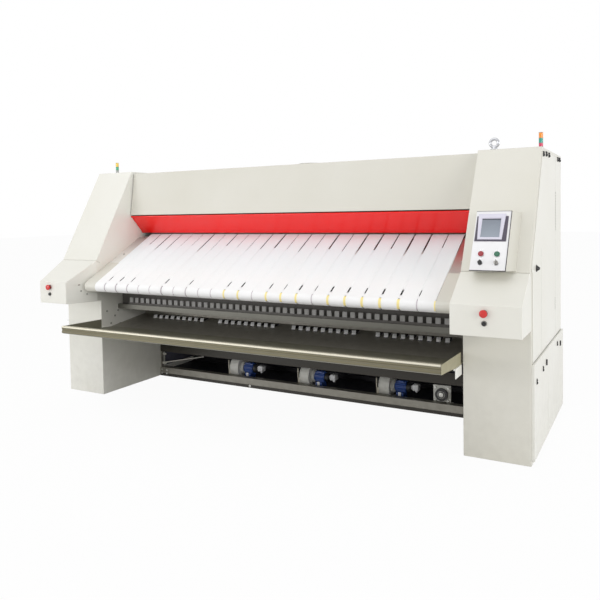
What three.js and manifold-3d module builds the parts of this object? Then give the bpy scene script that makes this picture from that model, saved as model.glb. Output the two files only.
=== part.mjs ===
// Flatwork ironer with a front feed bed, a padded roll in a heated chest and a linen tray.
// Millimetres, +X along the roll to the right, +Y from front to back, +Z up, floor at Z = 0.
// Inside this file Y = 0 is the front face of the lower cabinets; the finished group is moved
// so that the origin lies under the middle of the whole machine.
import * as THREE from "three";
import { mergeVertices } from "three/addons/utils/BufferGeometryUtils.js";
import Module from "manifold-3d";

const wasm = await Module();
wasm.setup();

// ---------------------------------------------------------------------------------------------
// Driving dimensions
// ---------------------------------------------------------------------------------------------
const innerWidth = 3000; // clear width between the two cabinets
const cabinetWidth = 392;
const cabinetHeight = 1866;
const cabinetDepth = 1280;
const topSetback = 395; // how far the top front edge lies behind the lower front
const kneeReach = 39; // how far the foot of the sloping front stands forward
const kneeHeight = 1121;
const kneeFold = 23; // from there down to where it folds back to the lower front
const sheet = 3; // sheet metal of the cabinets and covers
const gap = 0.3; // clearance between pieces that are bolted or seated together
const weld = 1; // how far members that are joined run into each other
const pierce = 1; // how far a cutting tool runs past the face it leaves

const consoleReach = 280;
const consoleBrow = 960; // top edge of the console's front face
const consoleFaceHeight = 174;
const leftConsoleTaper = 90; // how much the left console narrows towards its front

const frameThickness = 16;
const beamHeight = 80;
const beamWidth = 60;
const beamSetback = 700; // front base beam behind the lower front
const rearBeamInset = 100; // rear base beam's front face before the cabinets' rear

const noseY = -130; // axis of the feed bed's front roller
const noseZ = 920;
const driveRise = 19.7; // axis of the bed's rear roller above the roll's axis
const feedClearance = 11.4; // from the belts to the chest's front lip
const noseRadius = 36;
const driveRadius = 30;
const beltThickness = 4;
const beltCount = 24;
const beltPitch = 115.5;
const beltGap = 5;
const bedPlateThickness = 4;

const rollRearSpace = 370; // from the roll's axis to the cabinets' rear edge
const rollZ = 1265;
const rollRadius = 288;
const paddingThickness = 12;
const rollEndGap = 100; // from the roll's end disc to the cabinet
const journalRadius = 40;
const chestClearance = 3;
const chestThickness = 42;
const chestLipRise = 6; // degrees that the chest's lips stand above the roll axis

const hoodFootBefore = 31; // hood's lower edge before the cabinets' top front edge
const hoodFootZ = 1487;
const hoodTopBehind = 23; // hood's top front edge behind the cabinets'
const hoodTopDrop = 17; // and below it
const hoodReturn = 40;
const hoodEndGap = 6;

const guardHingeBehind = 14; // guard hinge from the hood's lower edge
const guardHingeDrop = 15;
const guardSetback = 15.6; // guard's lower edge before the rear roller's axis
const feedGap = 25; // between the guard's lower edge and the belts
const guardThickness = 6;
const guardPinRadius = 6;

const trayLipY = -415;
const trayLipZ = 640;
const trayLipHeight = 54;
const trayRearY = 110;
const trayRearZ = 556;
const traySheet = 4;

const chuteBreakY = 520; // where the return chute turns up behind its slots
const chuteBreakZ = 610;
const chuteTopZ = 740;
const slotPitch = 63;
const slotsPerGroup = 9;
const slotGroups = 4;
const slotMargin = 120; // from the cabinets to the first group's share of the width
const slotWidth = 30;
const slotLength = 110;

const crossBarY = 188;
const crossBarZ = 735;
const crossBarHeight = 38;
const crossBarDepth = 30;

const blowerPitch = 700;
const blowerMiddleX = -15;
const blowerClearance = 2; // between the scrolls and the front beam
const shelfTop = 42;
const scrollRadius = 88;
const scrollWidth = 84;
const motorRadius = 46;
const motorLength = 172;
const fanRadius = 62;

const doorProud = 16;
const doorHeight = 590;
const doorSplitY = 525;
const latchRise = 487; // latch above the foot of its door
const panelLap = 12; // how far a side panel overlaps the cabinet's flange
const flangeWidth = 40;

const emergencyRadius = 22;
const pushRadius = 12;
const startRadius = 16; // start and stop button beside the screen
const buttonTravel = 4;

const deliveryReach = 70; // how far the delivery slide stands behind the rear cover

// ---------------------------------------------------------------------------------------------
// Derived places
// ---------------------------------------------------------------------------------------------
const halfInner = innerWidth / 2;
const halfOuter = halfInner + cabinetWidth;
const kneeUnderHeight = kneeHeight - kneeFold;
const consoleBottom = consoleBrow - consoleFaceHeight;
const outerFace = halfOuter + gap + doorProud;
const coverEnd = halfInner - gap;
const frameInner = halfInner + sheet + gap;
const frameOuter = frameInner + frameThickness;
const rearFace = cabinetDepth + deliveryReach;
const middleY = (trayLipY + rearFace) / 2;

const rollY = cabinetDepth - rollRearSpace;
const rollHalfLength = halfInner - rollEndGap;
const paddedRadius = rollRadius + paddingThickness;
const chestInner = paddedRadius + chestClearance;
const chestOuter = chestInner + chestThickness;

const driveY = rollY - chestOuter - feedClearance - beltThickness - driveRadius;
const driveZ = rollZ + driveRise;
const driveOffset = noseRadius - driveRadius; // keeps the belts' top run straight
const axesApart = Math.hypot(driveY - noseY, driveZ - noseZ);
const bedLength = Math.sqrt(axesApart ** 2 - driveOffset ** 2);
const slope = Math.atan2(driveZ - noseZ, driveY - noseY) - Math.atan2(driveOffset, bedLength);
const bedSlope = THREE.MathUtils.radToDeg(slope);
const halfBelts = (beltCount * beltPitch - beltGap) / 2;

// A point on the feed bed: along the slope from the nose axis, and square to it.
function onBed(along, up) {
  return [
    noseY + along * Math.cos(slope) - up * Math.sin(slope),
    noseZ + along * Math.sin(slope) + up * Math.cos(slope),
  ];
}

const hoodFootY = topSetback - hoodFootBefore;
const hoodTopY = topSetback + hoodTopBehind;
const hoodTopZ = cabinetHeight - hoodTopDrop;
const guardHingeY = hoodFootY + guardHingeBehind;
const guardHingeZ = hoodFootZ - guardHingeDrop;
const guardFootY = driveY - guardSetback;
const beltTopAtGuard =
  noseZ + (guardFootY - noseY) * Math.tan(slope) + (noseRadius + beltThickness) / Math.cos(slope);
const guardFootZ = beltTopAtGuard + feedGap;

// ---------------------------------------------------------------------------------------------
// Shape helpers
// ---------------------------------------------------------------------------------------------
const AXES_YZX = new THREE.Matrix4().makeBasis(
  new THREE.Vector3(0, 1, 0),
  new THREE.Vector3(0, 0, 1),
  new THREE.Vector3(1, 0, 0),
);
const AXES_XZ = new THREE.Matrix4().makeBasis(
  new THREE.Vector3(1, 0, 0),
  new THREE.Vector3(0, 0, 1),
  new THREE.Vector3(0, -1, 0),
);
const AXES_LATHE_X = new THREE.Matrix4().makeBasis(
  new THREE.Vector3(0, 0, 1),
  new THREE.Vector3(1, 0, 0),
  new THREE.Vector3(0, 1, 0),
);

function solid(geometry) {
  const bare = geometry.index ? geometry.toNonIndexed() : geometry.clone();
  const positions = new THREE.BufferGeometry();
  positions.setAttribute("position", bare.getAttribute("position"));
  const merged = mergeVertices(positions, 1e-3);
  return new wasm.Manifold(
    new wasm.Mesh({
      numProp: 3,
      vertProperties: merged.attributes.position.array,
      triVerts: new Uint32Array(merged.index.array),
    }),
  );
}

function outline(points, holes = []) {
  const shape = new THREE.Shape(points.map(([a, b]) => new THREE.Vector2(a, b)));
  for (const hole of holes) {
    shape.holes.push(new THREE.Path(hole.map(([a, b]) => new THREE.Vector2(a, b))));
  }
  return shape;
}

// A [y, z] outline carried from x0 to x1.
function alongX(points, x0, x1, holes = []) {
  const options = { depth: x1 - x0, bevelEnabled: false };
  const geometry = new THREE.ExtrudeGeometry(outline(points, holes), options);
  geometry.applyMatrix4(AXES_YZX);
  geometry.translate(x0, 0, 0);
  return solid(geometry);
}

// An [x, z] outline carried from y0 to y1.
function alongY(points, y0, y1, holes = []) {
  const options = { depth: y1 - y0, bevelEnabled: false };
  const geometry = new THREE.ExtrudeGeometry(outline(points, holes), options);
  geometry.applyMatrix4(AXES_XZ);
  geometry.translate(0, y1, 0);
  return solid(geometry);
}

// An [x, y] outline carried from z0 to z1.
function alongZ(points, z0, z1) {
  const options = { depth: z1 - z0, bevelEnabled: false };
  const geometry = new THREE.ExtrudeGeometry(outline(points), options);
  geometry.translate(0, 0, z0);
  return solid(geometry);
}

function block(x0, x1, y0, y1, z0, z1) {
  const geometry = new THREE.BoxGeometry(x1 - x0, y1 - y0, z1 - z0);
  geometry.translate((x0 + x1) / 2, (y0 + y1) / 2, (z0 + z1) / 2);
  return solid(geometry);
}

// A round bar from x0 to x1 about the line y, z.
function barX(radius, x0, x1, y, z, sides = 16) {
  const geometry = new THREE.CylinderGeometry(radius, radius, x1 - x0, sides);
  geometry.rotateZ(-Math.PI / 2);
  geometry.translate((x0 + x1) / 2, y, z);
  return solid(geometry);
}

function barY(radius, y0, y1, x, z, sides = 16) {
  const geometry = new THREE.CylinderGeometry(radius, radius, y1 - y0, sides);
  geometry.translate(x, (y0 + y1) / 2, z);
  return solid(geometry);
}

function barZ(radius, z0, z1, x, y, sides = 16) {
  const geometry = new THREE.CylinderGeometry(radius, radius, z1 - z0, sides);
  geometry.rotateX(Math.PI / 2);
  geometry.translate(x, y, (z0 + z1) / 2);
  return solid(geometry);
}

// A round hole whose flat sides stay clear of a bar of the given radius.
function holeX(radius, x0, x1, y, z, sides = 16) {
  return barX((radius + gap) / Math.cos(Math.PI / sides), x0, x1, y, z, sides);
}

function holeY(radius, y0, y1, x, z, sides = 16) {
  return barY((radius + gap) / Math.cos(Math.PI / sides), y0, y1, x, z, sides);
}

// A stepped shaft about the line y, z: steps are [x0, x1, radius] from left to right.
function shaftX(steps, y, z, sides = 20) {
  const profile = [new THREE.Vector2(0, steps[0][0])];
  for (const [x0, x1, radius] of steps) {
    profile.push(new THREE.Vector2(radius, x0), new THREE.Vector2(radius, x1));
  }
  profile.push(new THREE.Vector2(0, steps.at(-1)[1]));
  const geometry = new THREE.LatheGeometry(profile, sides);
  geometry.applyMatrix4(AXES_LATHE_X);
  geometry.translate(0, y, z);
  return solid(geometry);
}

function joined(...pieces) {
  return pieces.reduce((sum, piece) => sum.add(piece));
}

function without(body, ...cuts) {
  return cuts.reduce((left, cut) => left.subtract(cut), body);
}

function rectangle(a0, a1, b0, b1) {
  return [
    [a0, b0],
    [a1, b0],
    [a1, b1],
    [a0, b1],
  ];
}

function arc(centreA, centreB, radius, fromDegrees, toDegrees, steps) {
  const points = [];
  for (let i = 0; i <= steps; i++) {
    const angle = THREE.MathUtils.degToRad(fromDegrees + ((toDegrees - fromDegrees) * i) / steps);
    points.push([centreA + radius * Math.cos(angle), centreB + radius * Math.sin(angle)]);
  }
  return points;
}

// Moves every side of a convex or gently bent closed outline inwards by a distance.
function inset(points, distance) {
  const count = points.length;
  return points.map((point, i) => {
    const before = points[(i + count - 1) % count];
    const after = points[(i + 1) % count];
    const a = new THREE.Vector2(point[0] - before[0], point[1] - before[1]).normalize();
    const b = new THREE.Vector2(after[0] - point[0], after[1] - point[1]).normalize();
    const normalA = new THREE.Vector2(-a.y, a.x);
    const normalB = new THREE.Vector2(-b.y, b.x);
    const bisector = normalA.clone().add(normalB);
    const scale = distance / (1 + normalA.dot(normalB));
    return [point[0] + bisector.x * scale, point[1] + bisector.y * scale];
  });
}

// ---------------------------------------------------------------------------------------------
// Finishes
// ---------------------------------------------------------------------------------------------
function finish(color, roughness, metalness) {
  return new THREE.MeshStandardMaterial({ color, roughness, metalness });
}
const finishes = {
  ivory: finish(0xe6e4da, 0.45, 0),
  beige: finish(0xd8d5cb, 0.45, 0),
  guardRed: finish(0xf1231c, 0.25, 0),
  beltWhite: finish(0xf2f0ee, 0.85, 0),
  stainless: finish(0xb9bbbd, 0.3, 1),
  steel: finish(0x8d8e8f, 0.45, 0.9),
  frameGrey: finish(0x77787a, 0.55, 0.3),
  trayBrown: finish(0x3e3b30, 0.5, 0.2),
  castGrey: finish(0x85867f, 0.6, 0.4),
  motorBlue: finish(0x1c3f93, 0.4, 0.1),
  felt: finish(0xe4dcc8, 0.95, 0),
  black: finish(0x17181a, 0.5, 0),
  white: finish(0xf4f4f6, 0.4, 0),
  screen: finish(0x7c8b99, 0.15, 0),
  red: finish(0xc9281f, 0.3, 0),
  green: finish(0x3f7e6c, 0.3, 0),
  lamp: finish(0xe2a33a, 0.3, 0),
};

const machine = new THREE.Group();
machine.position.y = -middleY;

function addPiece(name, body, material, parent = machine) {
  const mesh = body.getMesh();
  const count = mesh.numProp;
  const positions = new Float32Array(mesh.numVert * 3);
  for (let i = 0; i < mesh.numVert; i++) {
    positions.set(mesh.vertProperties.subarray(i * count, i * count + 3), i * 3);
  }
  const geometry = new THREE.BufferGeometry();
  geometry.setAttribute("position", new THREE.BufferAttribute(positions, 3));
  geometry.setIndex(new THREE.BufferAttribute(new Uint32Array(mesh.triVerts), 1));
  const piece = new THREE.Mesh(geometry, material);
  piece.name = name;
  parent.add(piece);
}

// Pieces are written for the right side; the left side mirrors them in X.
function mirrored(body, side) {
  return side > 0 ? body : body.mirror([1, 0, 0]);
}
const SIDES = [
  ["left", -1],
  ["right", 1],
];

// ---------------------------------------------------------------------------------------------
// Base frame: two floor beams, the blower shelf and a tie rail with its apron, in one piece
// ---------------------------------------------------------------------------------------------
const shelfThickness = 5;
const railZ = 240; // tie rail above the front beam
const railSize = 12;
const apronHeight = 70; // sheet on the tie rail, in front of the blowers' outlets
const rearBeamY = cabinetDepth - rearBeamInset;

function makeBaseFrame() {
  const end = coverEnd;
  const front = block(-end, end, beamSetback, beamSetback + beamWidth, 0, beamHeight);
  const rear = block(-end, end, rearBeamY, rearBeamY + beamWidth, 0, beamHeight);
  const shelfFront = beamSetback + beamWidth - weld;
  const shelf = block(-end, end, shelfFront, rearBeamY + weld, shelfTop - shelfThickness, shelfTop);
  const railFront = beamSetback + railSize / 2;
  const rail = block(-end, end, railFront, railFront + railSize, railZ - railSize, railZ);
  const apronTop = railZ + apronHeight;
  const apron = block(-end, end, railFront, railFront + sheet, railZ - weld, apronTop);
  const posts = [-end, end - railSize].map((x) =>
    block(x, x + railSize, railFront, railFront + 2 * railSize, beamHeight - weld, railZ),
  );
  return joined(front, rear, shelf, rail, apron, ...posts);
}
addPiece("base_frame", makeBaseFrame(), finishes.frameGrey);

// ---------------------------------------------------------------------------------------------
// Holes that pass through a cabinet's inner wall and the side frame behind it
// ---------------------------------------------------------------------------------------------
const journalHoleClearance = 12;
const rollerJournalRadius = 15;
const chestBeamHalfWidth = 60;
const chestBeamHeight = 24;
const chestBeamBite = 6; // how far the cross beam is let into the chest
const chestBeamZ = rollZ - chestOuter - chestBeamHeight + chestBeamBite;

function passages(x0, x1) {
  const chestHole = rectangle(
    rollY - chestBeamHalfWidth - gap,
    rollY + chestBeamHalfWidth + gap,
    chestBeamZ - gap,
    chestBeamZ + chestBeamHeight + gap,
  );
  return [
    holeX(journalRadius + journalHoleClearance, x0, x1, rollY, rollZ, 20),
    holeX(rollerJournalRadius, x0, x1, driveY, driveZ),
    holeX(guardPinRadius, x0, x1, guardHingeY, guardHingeZ, 12),
    alongX(chestHole, x0, x1),
  ];
}

// ---------------------------------------------------------------------------------------------
// End cabinets: folded sheet shells, open on the outer side where the panels close them
// ---------------------------------------------------------------------------------------------
const cabinetOutline = [
  [0, 0],
  [cabinetDepth, 0],
  [cabinetDepth, cabinetHeight],
  [topSetback, cabinetHeight],
  [-kneeReach, kneeHeight],
  [0, kneeUnderHeight],
];

function makeCabinet() {
  const shell = alongX(cabinetOutline, halfInner, halfOuter);
  const hollow = alongX(inset(cabinetOutline, sheet), halfInner + sheet, halfOuter - sheet);
  const mouthEnd = halfOuter + pierce;
  const mouth = alongX(inset(cabinetOutline, flangeWidth), halfOuter - 2 * sheet, mouthEnd);
  const holes = passages(halfInner - pierce, halfInner + sheet + pierce);
  return without(shell, hollow, mouth, ...holes);
}
for (const [name, side] of SIDES) {
  addPiece(`${name}_cabinet`, mirrored(makeCabinet(), side), finishes.ivory);
}

// ---------------------------------------------------------------------------------------------
// Side frames: plates behind the inner walls that carry the roll, the rollers and the chest
// ---------------------------------------------------------------------------------------------
const frameMargin = 25; // from the cabinet's front and rear walls
const frameTopDrop = 166; // below the cabinet's top

function makeSideFrame() {
  const low = sheet + gap;
  const front = sheet + frameMargin;
  const rear = cabinetDepth - sheet - frameMargin;
  const top = cabinetHeight - frameTopDrop;
  const plate = [
    [front, low],
    [rear, low],
    [rear, top],
    [topSetback, top],
    [front, kneeHeight],
  ];
  return without(
    alongX(plate, frameInner, frameOuter),
    ...passages(frameInner - pierce, frameOuter + pierce),
  );
}
for (const [name, side] of SIDES) {
  addPiece(`${name}_side_frame`, mirrored(makeSideFrame(), side), finishes.frameGrey);
}

// ---------------------------------------------------------------------------------------------
// Consoles: wedge boxes on the cabinet fronts, open at the back, drilled for their buttons
// ---------------------------------------------------------------------------------------------
const emergencyStem = 11;
const pushStem = 8;
const emergencyDrop = 44; // button axes below the console's brow
const pushDrop = 100;
const emergencyZ = consoleBrow - emergencyDrop;
const pushZ = consoleBrow - pushDrop;
const leftButtonInset = 117; // from the left console's outer side
const rightButtonInset = 192; // from the right console's inner side
const buttonX = { left: leftButtonInset - halfOuter, right: halfInner + rightButtonInset };
const emergencyHeight = 28; // of the mushroom's top above the face
const emergencyCrown = 4; // height of the mushroom's stepped top
const emergencyStep = 6; // width of that step
const emergencyLift = 14; // of the mushroom's underside above the face
const capHeight = 5;
const capLift = buttonTravel + 1; // of the cap's underside above the face
const stemLength = 30; // behind the face
const consoleJoint = 1; // open seam between the console's top edge and the cabinet

// A wedge that draws a box's right side in, by nothing at y0 and by `amount` at y1.
function sideTaper(x, amount, y0, y1, z0, z1) {
  return alongZ([[x, y0], [x + pierce, y0], [x + pierce, y1], [x - amount, y1]], z0, z1);
}

function makeConsole(name, side) {
  const wedge = [
    [-gap, consoleBottom],
    [-gap, kneeUnderHeight - consoleJoint],
    [-kneeReach, kneeHeight - consoleJoint],
    [-consoleReach, consoleBrow],
    [-consoleReach, consoleBottom],
  ];
  // The hollow runs out through the open back.
  const hollow = inset(wedge, sheet).map(([y, z]) => [y > -kneeReach / 2 ? pierce : y, z]);
  const x0 = Math.min(side * halfInner, side * halfOuter);
  const x1 = Math.max(side * halfInner, side * halfOuter);
  let outside = alongX(wedge, x0, x1);
  let inside = alongX(hollow, x0 + sheet, x1 - sheet);
  if (side < 0) {
    const reach = [-kneeReach, -consoleReach - pierce, consoleBottom - pierce, kneeHeight];
    outside = without(outside, sideTaper(x1, leftConsoleTaper, ...reach));
    inside = without(inside, sideTaper(x1 - sheet, leftConsoleTaper, ...reach));
  }
  const through = [-consoleReach - pierce, -consoleReach + 2 * sheet, buttonX[name]];
  return without(
    outside,
    inside,
    holeY(emergencyStem, ...through, emergencyZ, 20),
    holeY(pushStem, ...through, pushZ, 20),
  );
}
for (const [name, side] of SIDES) {
  addPiece(`${name}_console`, makeConsole(name, side), finishes.ivory);
}

// ---------------------------------------------------------------------------------------------
// Console buttons: a mushroom emergency button above a small push button
// ---------------------------------------------------------------------------------------------
// A turned button that points to the front; steps are [from, to, radius] behind the panel face.
function turnedButton(steps, x, y, z, sides = 20) {
  const profile = [new THREE.Vector2(0, steps[0][0])];
  for (const [from, to, radius] of steps) {
    profile.push(new THREE.Vector2(radius, from), new THREE.Vector2(radius, to));
  }
  profile.push(new THREE.Vector2(0, steps.at(-1)[1]));
  const geometry = new THREE.LatheGeometry(profile, sides);
  geometry.translate(x, y, z);
  return solid(geometry);
}

function makeEmergencyButton(x) {
  const steps = [
    [-emergencyHeight, -emergencyHeight + emergencyCrown, emergencyRadius - emergencyStep],
    [-emergencyHeight + emergencyCrown, -emergencyLift, emergencyRadius],
    [-emergencyLift, stemLength, emergencyStem],
  ];
  return turnedButton(steps, x, -consoleReach, emergencyZ);
}

// A small button: a cap that stands off the face by its travel, and its stem.
function makePushButton(radius, x, face, z) {
  const steps = [
    [-capLift - capHeight, -capLift, radius],
    [-capLift, stemLength, pushStem],
  ];
  return turnedButton(steps, x, face, z);
}

for (const [name] of SIDES) {
  addPiece(`${name}_emergency_button`, makeEmergencyButton(buttonX[name]), finishes.red);
  addPiece(
    `${name}_push_button`,
    makePushButton(pushRadius, buttonX[name], -consoleReach, pushZ),
    finishes.black,
  );
}

// ---------------------------------------------------------------------------------------------
// Covers between the cabinets: hood panel, top cover and rear cover
// ---------------------------------------------------------------------------------------------
function makeHood() {
  const lean = (hoodTopY - hoodFootY) / (hoodTopZ - hoodFootZ);
  const profile = [
    [hoodFootY, hoodFootZ],
    [hoodFootY + hoodReturn, hoodFootZ],
    [hoodFootY + hoodReturn, hoodFootZ + sheet],
    [hoodFootY + sheet + lean * sheet, hoodFootZ + sheet],
    [hoodTopY + sheet, hoodTopZ - sheet],
    [hoodTopY + hoodReturn, hoodTopZ - sheet],
    [hoodTopY + hoodReturn, hoodTopZ],
    [hoodTopY, hoodTopZ],
  ];
  return alongX(profile, -halfInner + hoodEndGap, halfInner - hoodEndGap);
}
addPiece("hood_panel", makeHood(), finishes.beige);

const spigotRadius = 100;
const spigotHeight = 40;

function makeTopCover() {
  const front = hoodTopY + hoodReturn + gap;
  const flat = block(-coverEnd, coverEnd, front, cabinetDepth, hoodTopZ - sheet, hoodTopZ);
  const collar = barZ(spigotRadius, hoodTopZ - weld, hoodTopZ + spigotHeight, 0, rollY, 24);
  const low = hoodTopZ - sheet - pierce;
  const high = hoodTopZ + spigotHeight + pierce;
  return without(joined(flat, collar), barZ(spigotRadius - sheet, low, high, 0, rollY, 24));
}
addPiece("top_cover", makeTopCover(), finishes.beige);

const deliveryDrop = 12; // lower edge of the rear cover's slot below the roll's axis
const deliveryRise = 60; // and upper edge above it
const rearCoverFoot = 20; // rear cover's lower edge above the floor
const deliveryLow = rollZ - deliveryDrop;
const deliveryHigh = rollZ + deliveryRise;

function makeRearCover() {
  const top = hoodTopZ - sheet - gap;
  const holes = [rectangle(-rollHalfLength, rollHalfLength, deliveryLow, deliveryHigh).reverse()];
  const plate = rectangle(-coverEnd, coverEnd, rearCoverFoot, top);
  return alongY(plate, cabinetDepth - sheet, cabinetDepth, holes);
}
addPiece("rear_cover", makeRearCover(), finishes.beige);

// The slide takes the linen from the chest's rear lip out through the rear cover.
const slideRise = 20; // its front edge above the roll's axis
const slideFall = 34; // over its length
const slideTipFall = 22; // over its turned-down tip
const slideTipLength = 12;
const slideEndGap = 2;
const slideFootHeight = 30; // how far the fixing flange reaches below the slot

function makeDeliverySlide() {
  const end = rollHalfLength - slideEndGap;
  const startY = rollY + chestOuter + slideEndGap;
  const startZ = rollZ + slideRise;
  const bendY = rearFace - slideTipLength;
  const bendZ = startZ - slideFall;
  const profile = [
    [startY, startZ],
    [bendY, bendZ],
    [rearFace, bendZ - slideTipFall],
    [rearFace, bendZ - slideTipFall + 2 * traySheet],
    [bendY, bendZ + traySheet],
    [startY, startZ + traySheet],
  ];
  const footBack = cabinetDepth - sheet - gap;
  const footFront = footBack - traySheet;
  const fall = (slideFall * (footFront - startY)) / (bendY - startY);
  const footTop = startZ - fall + traySheet / 2;
  const foot = block(-end, end, footFront, footBack, deliveryLow - slideFootHeight, footTop);
  return joined(alongX(profile, -end, end), foot);
}
addPiece("delivery_slide", makeDeliverySlide(), finishes.stainless);

// ---------------------------------------------------------------------------------------------
// Side panels: a vented upper panel and lift-off lower doors on the right, one panel on the left
// ---------------------------------------------------------------------------------------------
const panelEdge = flangeWidth - panelLap;
const ventCount = 11;
const ventPitch = 21;
const ventY = 975;
const ventTopZ = 1562;
const ventSize = 9;
const doorJoint = 4; // open joint around the doors
const latchRadius = 9;
const latchStem = 5;
const latchBase = 5; // thickness of its round base
const latchBar = 36; // length of its thumb bar
const latchCam = 27; // reach of its cam above the stem
const latchZ = panelEdge + latchRise;
const latchReach = 8;

function panelOutline(lowZ) {
  const [, lowRear, highRear, highFront, knee, under] = inset(cabinetOutline, panelEdge);
  return [[under[0], lowZ], [lowRear[0], lowZ], highRear, highFront, knee, under];
}

function makeUpperPanel() {
  const inner = halfOuter + gap;
  const vents = [];
  for (let i = 0; i < ventCount; i++) {
    const z = ventTopZ - i * ventPitch;
    vents.push(rectangle(ventY, ventY + ventSize, z, z + ventSize).reverse());
  }
  return alongX(panelOutline(doorHeight + doorJoint), inner, inner + sheet, vents);
}
addPiece("right_upper_panel", makeUpperPanel(), finishes.ivory);

// A door is a shallow pan: a face with a rim turned in towards the cabinet.
function makeDoor(y0, y1, latchY) {
  const inner = halfOuter + gap;
  const pan = block(inner, outerFace, y0, y1, panelEdge, doorHeight);
  const hollow = block(
    inner - pierce,
    outerFace - sheet,
    y0 + sheet,
    y1 - sheet,
    panelEdge + sheet,
    doorHeight - sheet,
  );
  const latchHole = holeX(latchStem, outerFace - 2 * sheet, outerFace + pierce, latchY, latchZ, 12);
  return without(pan, hollow, latchHole);
}
const frontLatchY = 446;
const rearLatchY = 1100;
const doorEnd = 6; // from the cabinet's front and rear edges
const frontDoorRear = doorSplitY - doorJoint / 2;
const rearDoorFront = doorSplitY + doorJoint / 2;
addPiece("right_front_door", makeDoor(doorEnd, frontDoorRear, frontLatchY), finishes.ivory);
addPiece(
  "right_rear_door",
  makeDoor(rearDoorFront, cabinetDepth - doorEnd, rearLatchY),
  finishes.ivory,
);

// The left panel is one large pan with two fixed screw heads.
function makeLeftPanel() {
  const inner = halfOuter + gap;
  const edge = panelOutline(panelEdge);
  const pan = alongX(edge, inner, outerFace);
  const hollow = alongX(inset(edge, sheet), inner - pierce, outerFace - sheet);
  const heads = [frontLatchY, rearLatchY].map((y) =>
    barX(latchRadius, outerFace - weld, outerFace + latchReach, y, latchZ, 12),
  );
  return mirrored(joined(without(pan, hollow), ...heads), -1);
}

// Quarter-turn latch: a stem through the door, a thumb bar outside and a cam inside.
function makeLatch(latchY) {
  const face = outerFace + gap;
  const back = outerFace - doorProud + sheet;
  const [y0, y1] = [latchY - latchStem, latchY + latchStem];
  const [low, high] = [latchZ - latchBar / 2, latchZ + latchBar / 2];
  return joined(
    barX(latchStem, back, face + weld, latchY, latchZ, 12),
    barX(latchRadius, face, face + latchBase, latchY, latchZ, 12),
    block(face, outerFace + latchReach, y0, y1, low, high),
    block(back, back + sheet, y0, y1, latchZ - latchStem, latchZ + latchCam),
  );
}
addPiece("left_side_panel", makeLeftPanel(), finishes.ivory);
addPiece("right_front_latch", makeLatch(frontLatchY), finishes.black);
addPiece("right_rear_latch", makeLatch(rearLatchY), finishes.black);

// ---------------------------------------------------------------------------------------------
// Feed bed: plate, nose roller, drive roller, belts and the nose brackets
// ---------------------------------------------------------------------------------------------
const bracketLength = 286;
const noseBracketGap = 1;
const noseJournal = 12;
const noseJournalReach = 60; // into the nose bracket
const noseJournalEnd = halfBelts + noseJournalReach;
const bracketProud = 2; // how far the nose brackets stand above the belts
const seatRadius = noseRadius + beltThickness + bracketProud;
const bedPlateDrop = 1; // bed plate's top below the belts' inner side
const bedPlateEndGap = 15; // from the plate to the two rollers

// The plate runs under the belts; its front part fits between the nose brackets.
function makeBedPlate() {
  const top = noseRadius - bedPlateDrop;
  const under = top - bedPlateThickness;
  const end = bedLength - driveRadius - bedPlateEndGap;
  const strip = (from, halfWidth) => {
    const profile = [onBed(from, under), onBed(end, under), onBed(end, top), onBed(from, top)];
    return alongX(profile, -halfWidth, halfWidth);
  };
  const behindBrackets = bracketLength + noseBracketGap;
  return joined(strip(noseRadius + bedPlateEndGap, halfBelts), strip(behindBrackets, coverEnd));
}

// A loop of belt around both rollers, at a height above the roller faces.
function beltLoop(height, steps) {
  const clear = 1 / Math.cos(Math.PI / (2 * steps));
  const nose = (noseRadius + height) * clear;
  const drive = (driveRadius + height) * clear;
  return [
    ...arc(noseY, noseZ, nose, bedSlope + 90, bedSlope + 270, steps),
    ...arc(driveY, driveZ, drive, bedSlope - 90, bedSlope + 90, steps),
  ];
}

const beltGrooveDepth = 1.2;

function makeBelts() {
  const outerSteps = 6;
  const innerSteps = 12;
  const coarse = 1; // how much higher the corners of the coarse outer loop stand
  const height = beltThickness - coarse;
  const loop = alongX(beltLoop(height, outerSteps), -halfBelts, halfBelts);
  const inside = alongX(beltLoop(gap, innerSteps), -halfBelts - pierce, halfBelts + pierce);
  const grooves = [];
  for (let i = 1; i < beltCount; i++) {
    const x = -halfBelts - beltGap / 2 + i * beltPitch;
    const ring = alongX(beltLoop(height + pierce, outerSteps), x - beltGap / 2, x + beltGap / 2);
    const core = alongX(beltLoop(height - beltGrooveDepth, outerSteps), x - beltGap, x + beltGap);
    grooves.push(without(ring, core));
  }
  return without(loop, inside, ...grooves);
}

function makeNoseBracket() {
  const profile = [
    ...arc(noseY, noseZ, seatRadius, bedSlope + 90, bedSlope + 270, 8),
    onBed(bracketLength, -seatRadius),
    onBed(bracketLength, seatRadius),
  ];
  const body = alongX(profile, halfBelts + noseBracketGap, coverEnd);
  return without(body, holeX(noseJournal, halfBelts, noseJournalEnd + sheet, noseY, noseZ));
}

function makeRoller(radius, journal, journalEnd, y, z) {
  const steps = [
    [-journalEnd, -halfBelts, journal],
    [-halfBelts, halfBelts, radius],
    [halfBelts, journalEnd, journal],
  ];
  return shaftX(steps, y, z);
}

addPiece("feed_bed", makeBedPlate(), finishes.stainless);
addPiece(
  "nose_roller",
  makeRoller(noseRadius, noseJournal, noseJournalEnd, noseY, noseZ),
  finishes.steel,
);
addPiece(
  "feed_drive_roller",
  makeRoller(driveRadius, rollerJournalRadius, frameOuter + 2 * rollerJournalRadius, driveY, driveZ),
  finishes.steel,
);
addPiece("feed_belts", makeBelts(), finishes.beltWhite);
for (const [name, side] of SIDES) {
  addPiece(`${name}_nose_bracket`, mirrored(makeNoseBracket(), side), finishes.beige);
}

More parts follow.
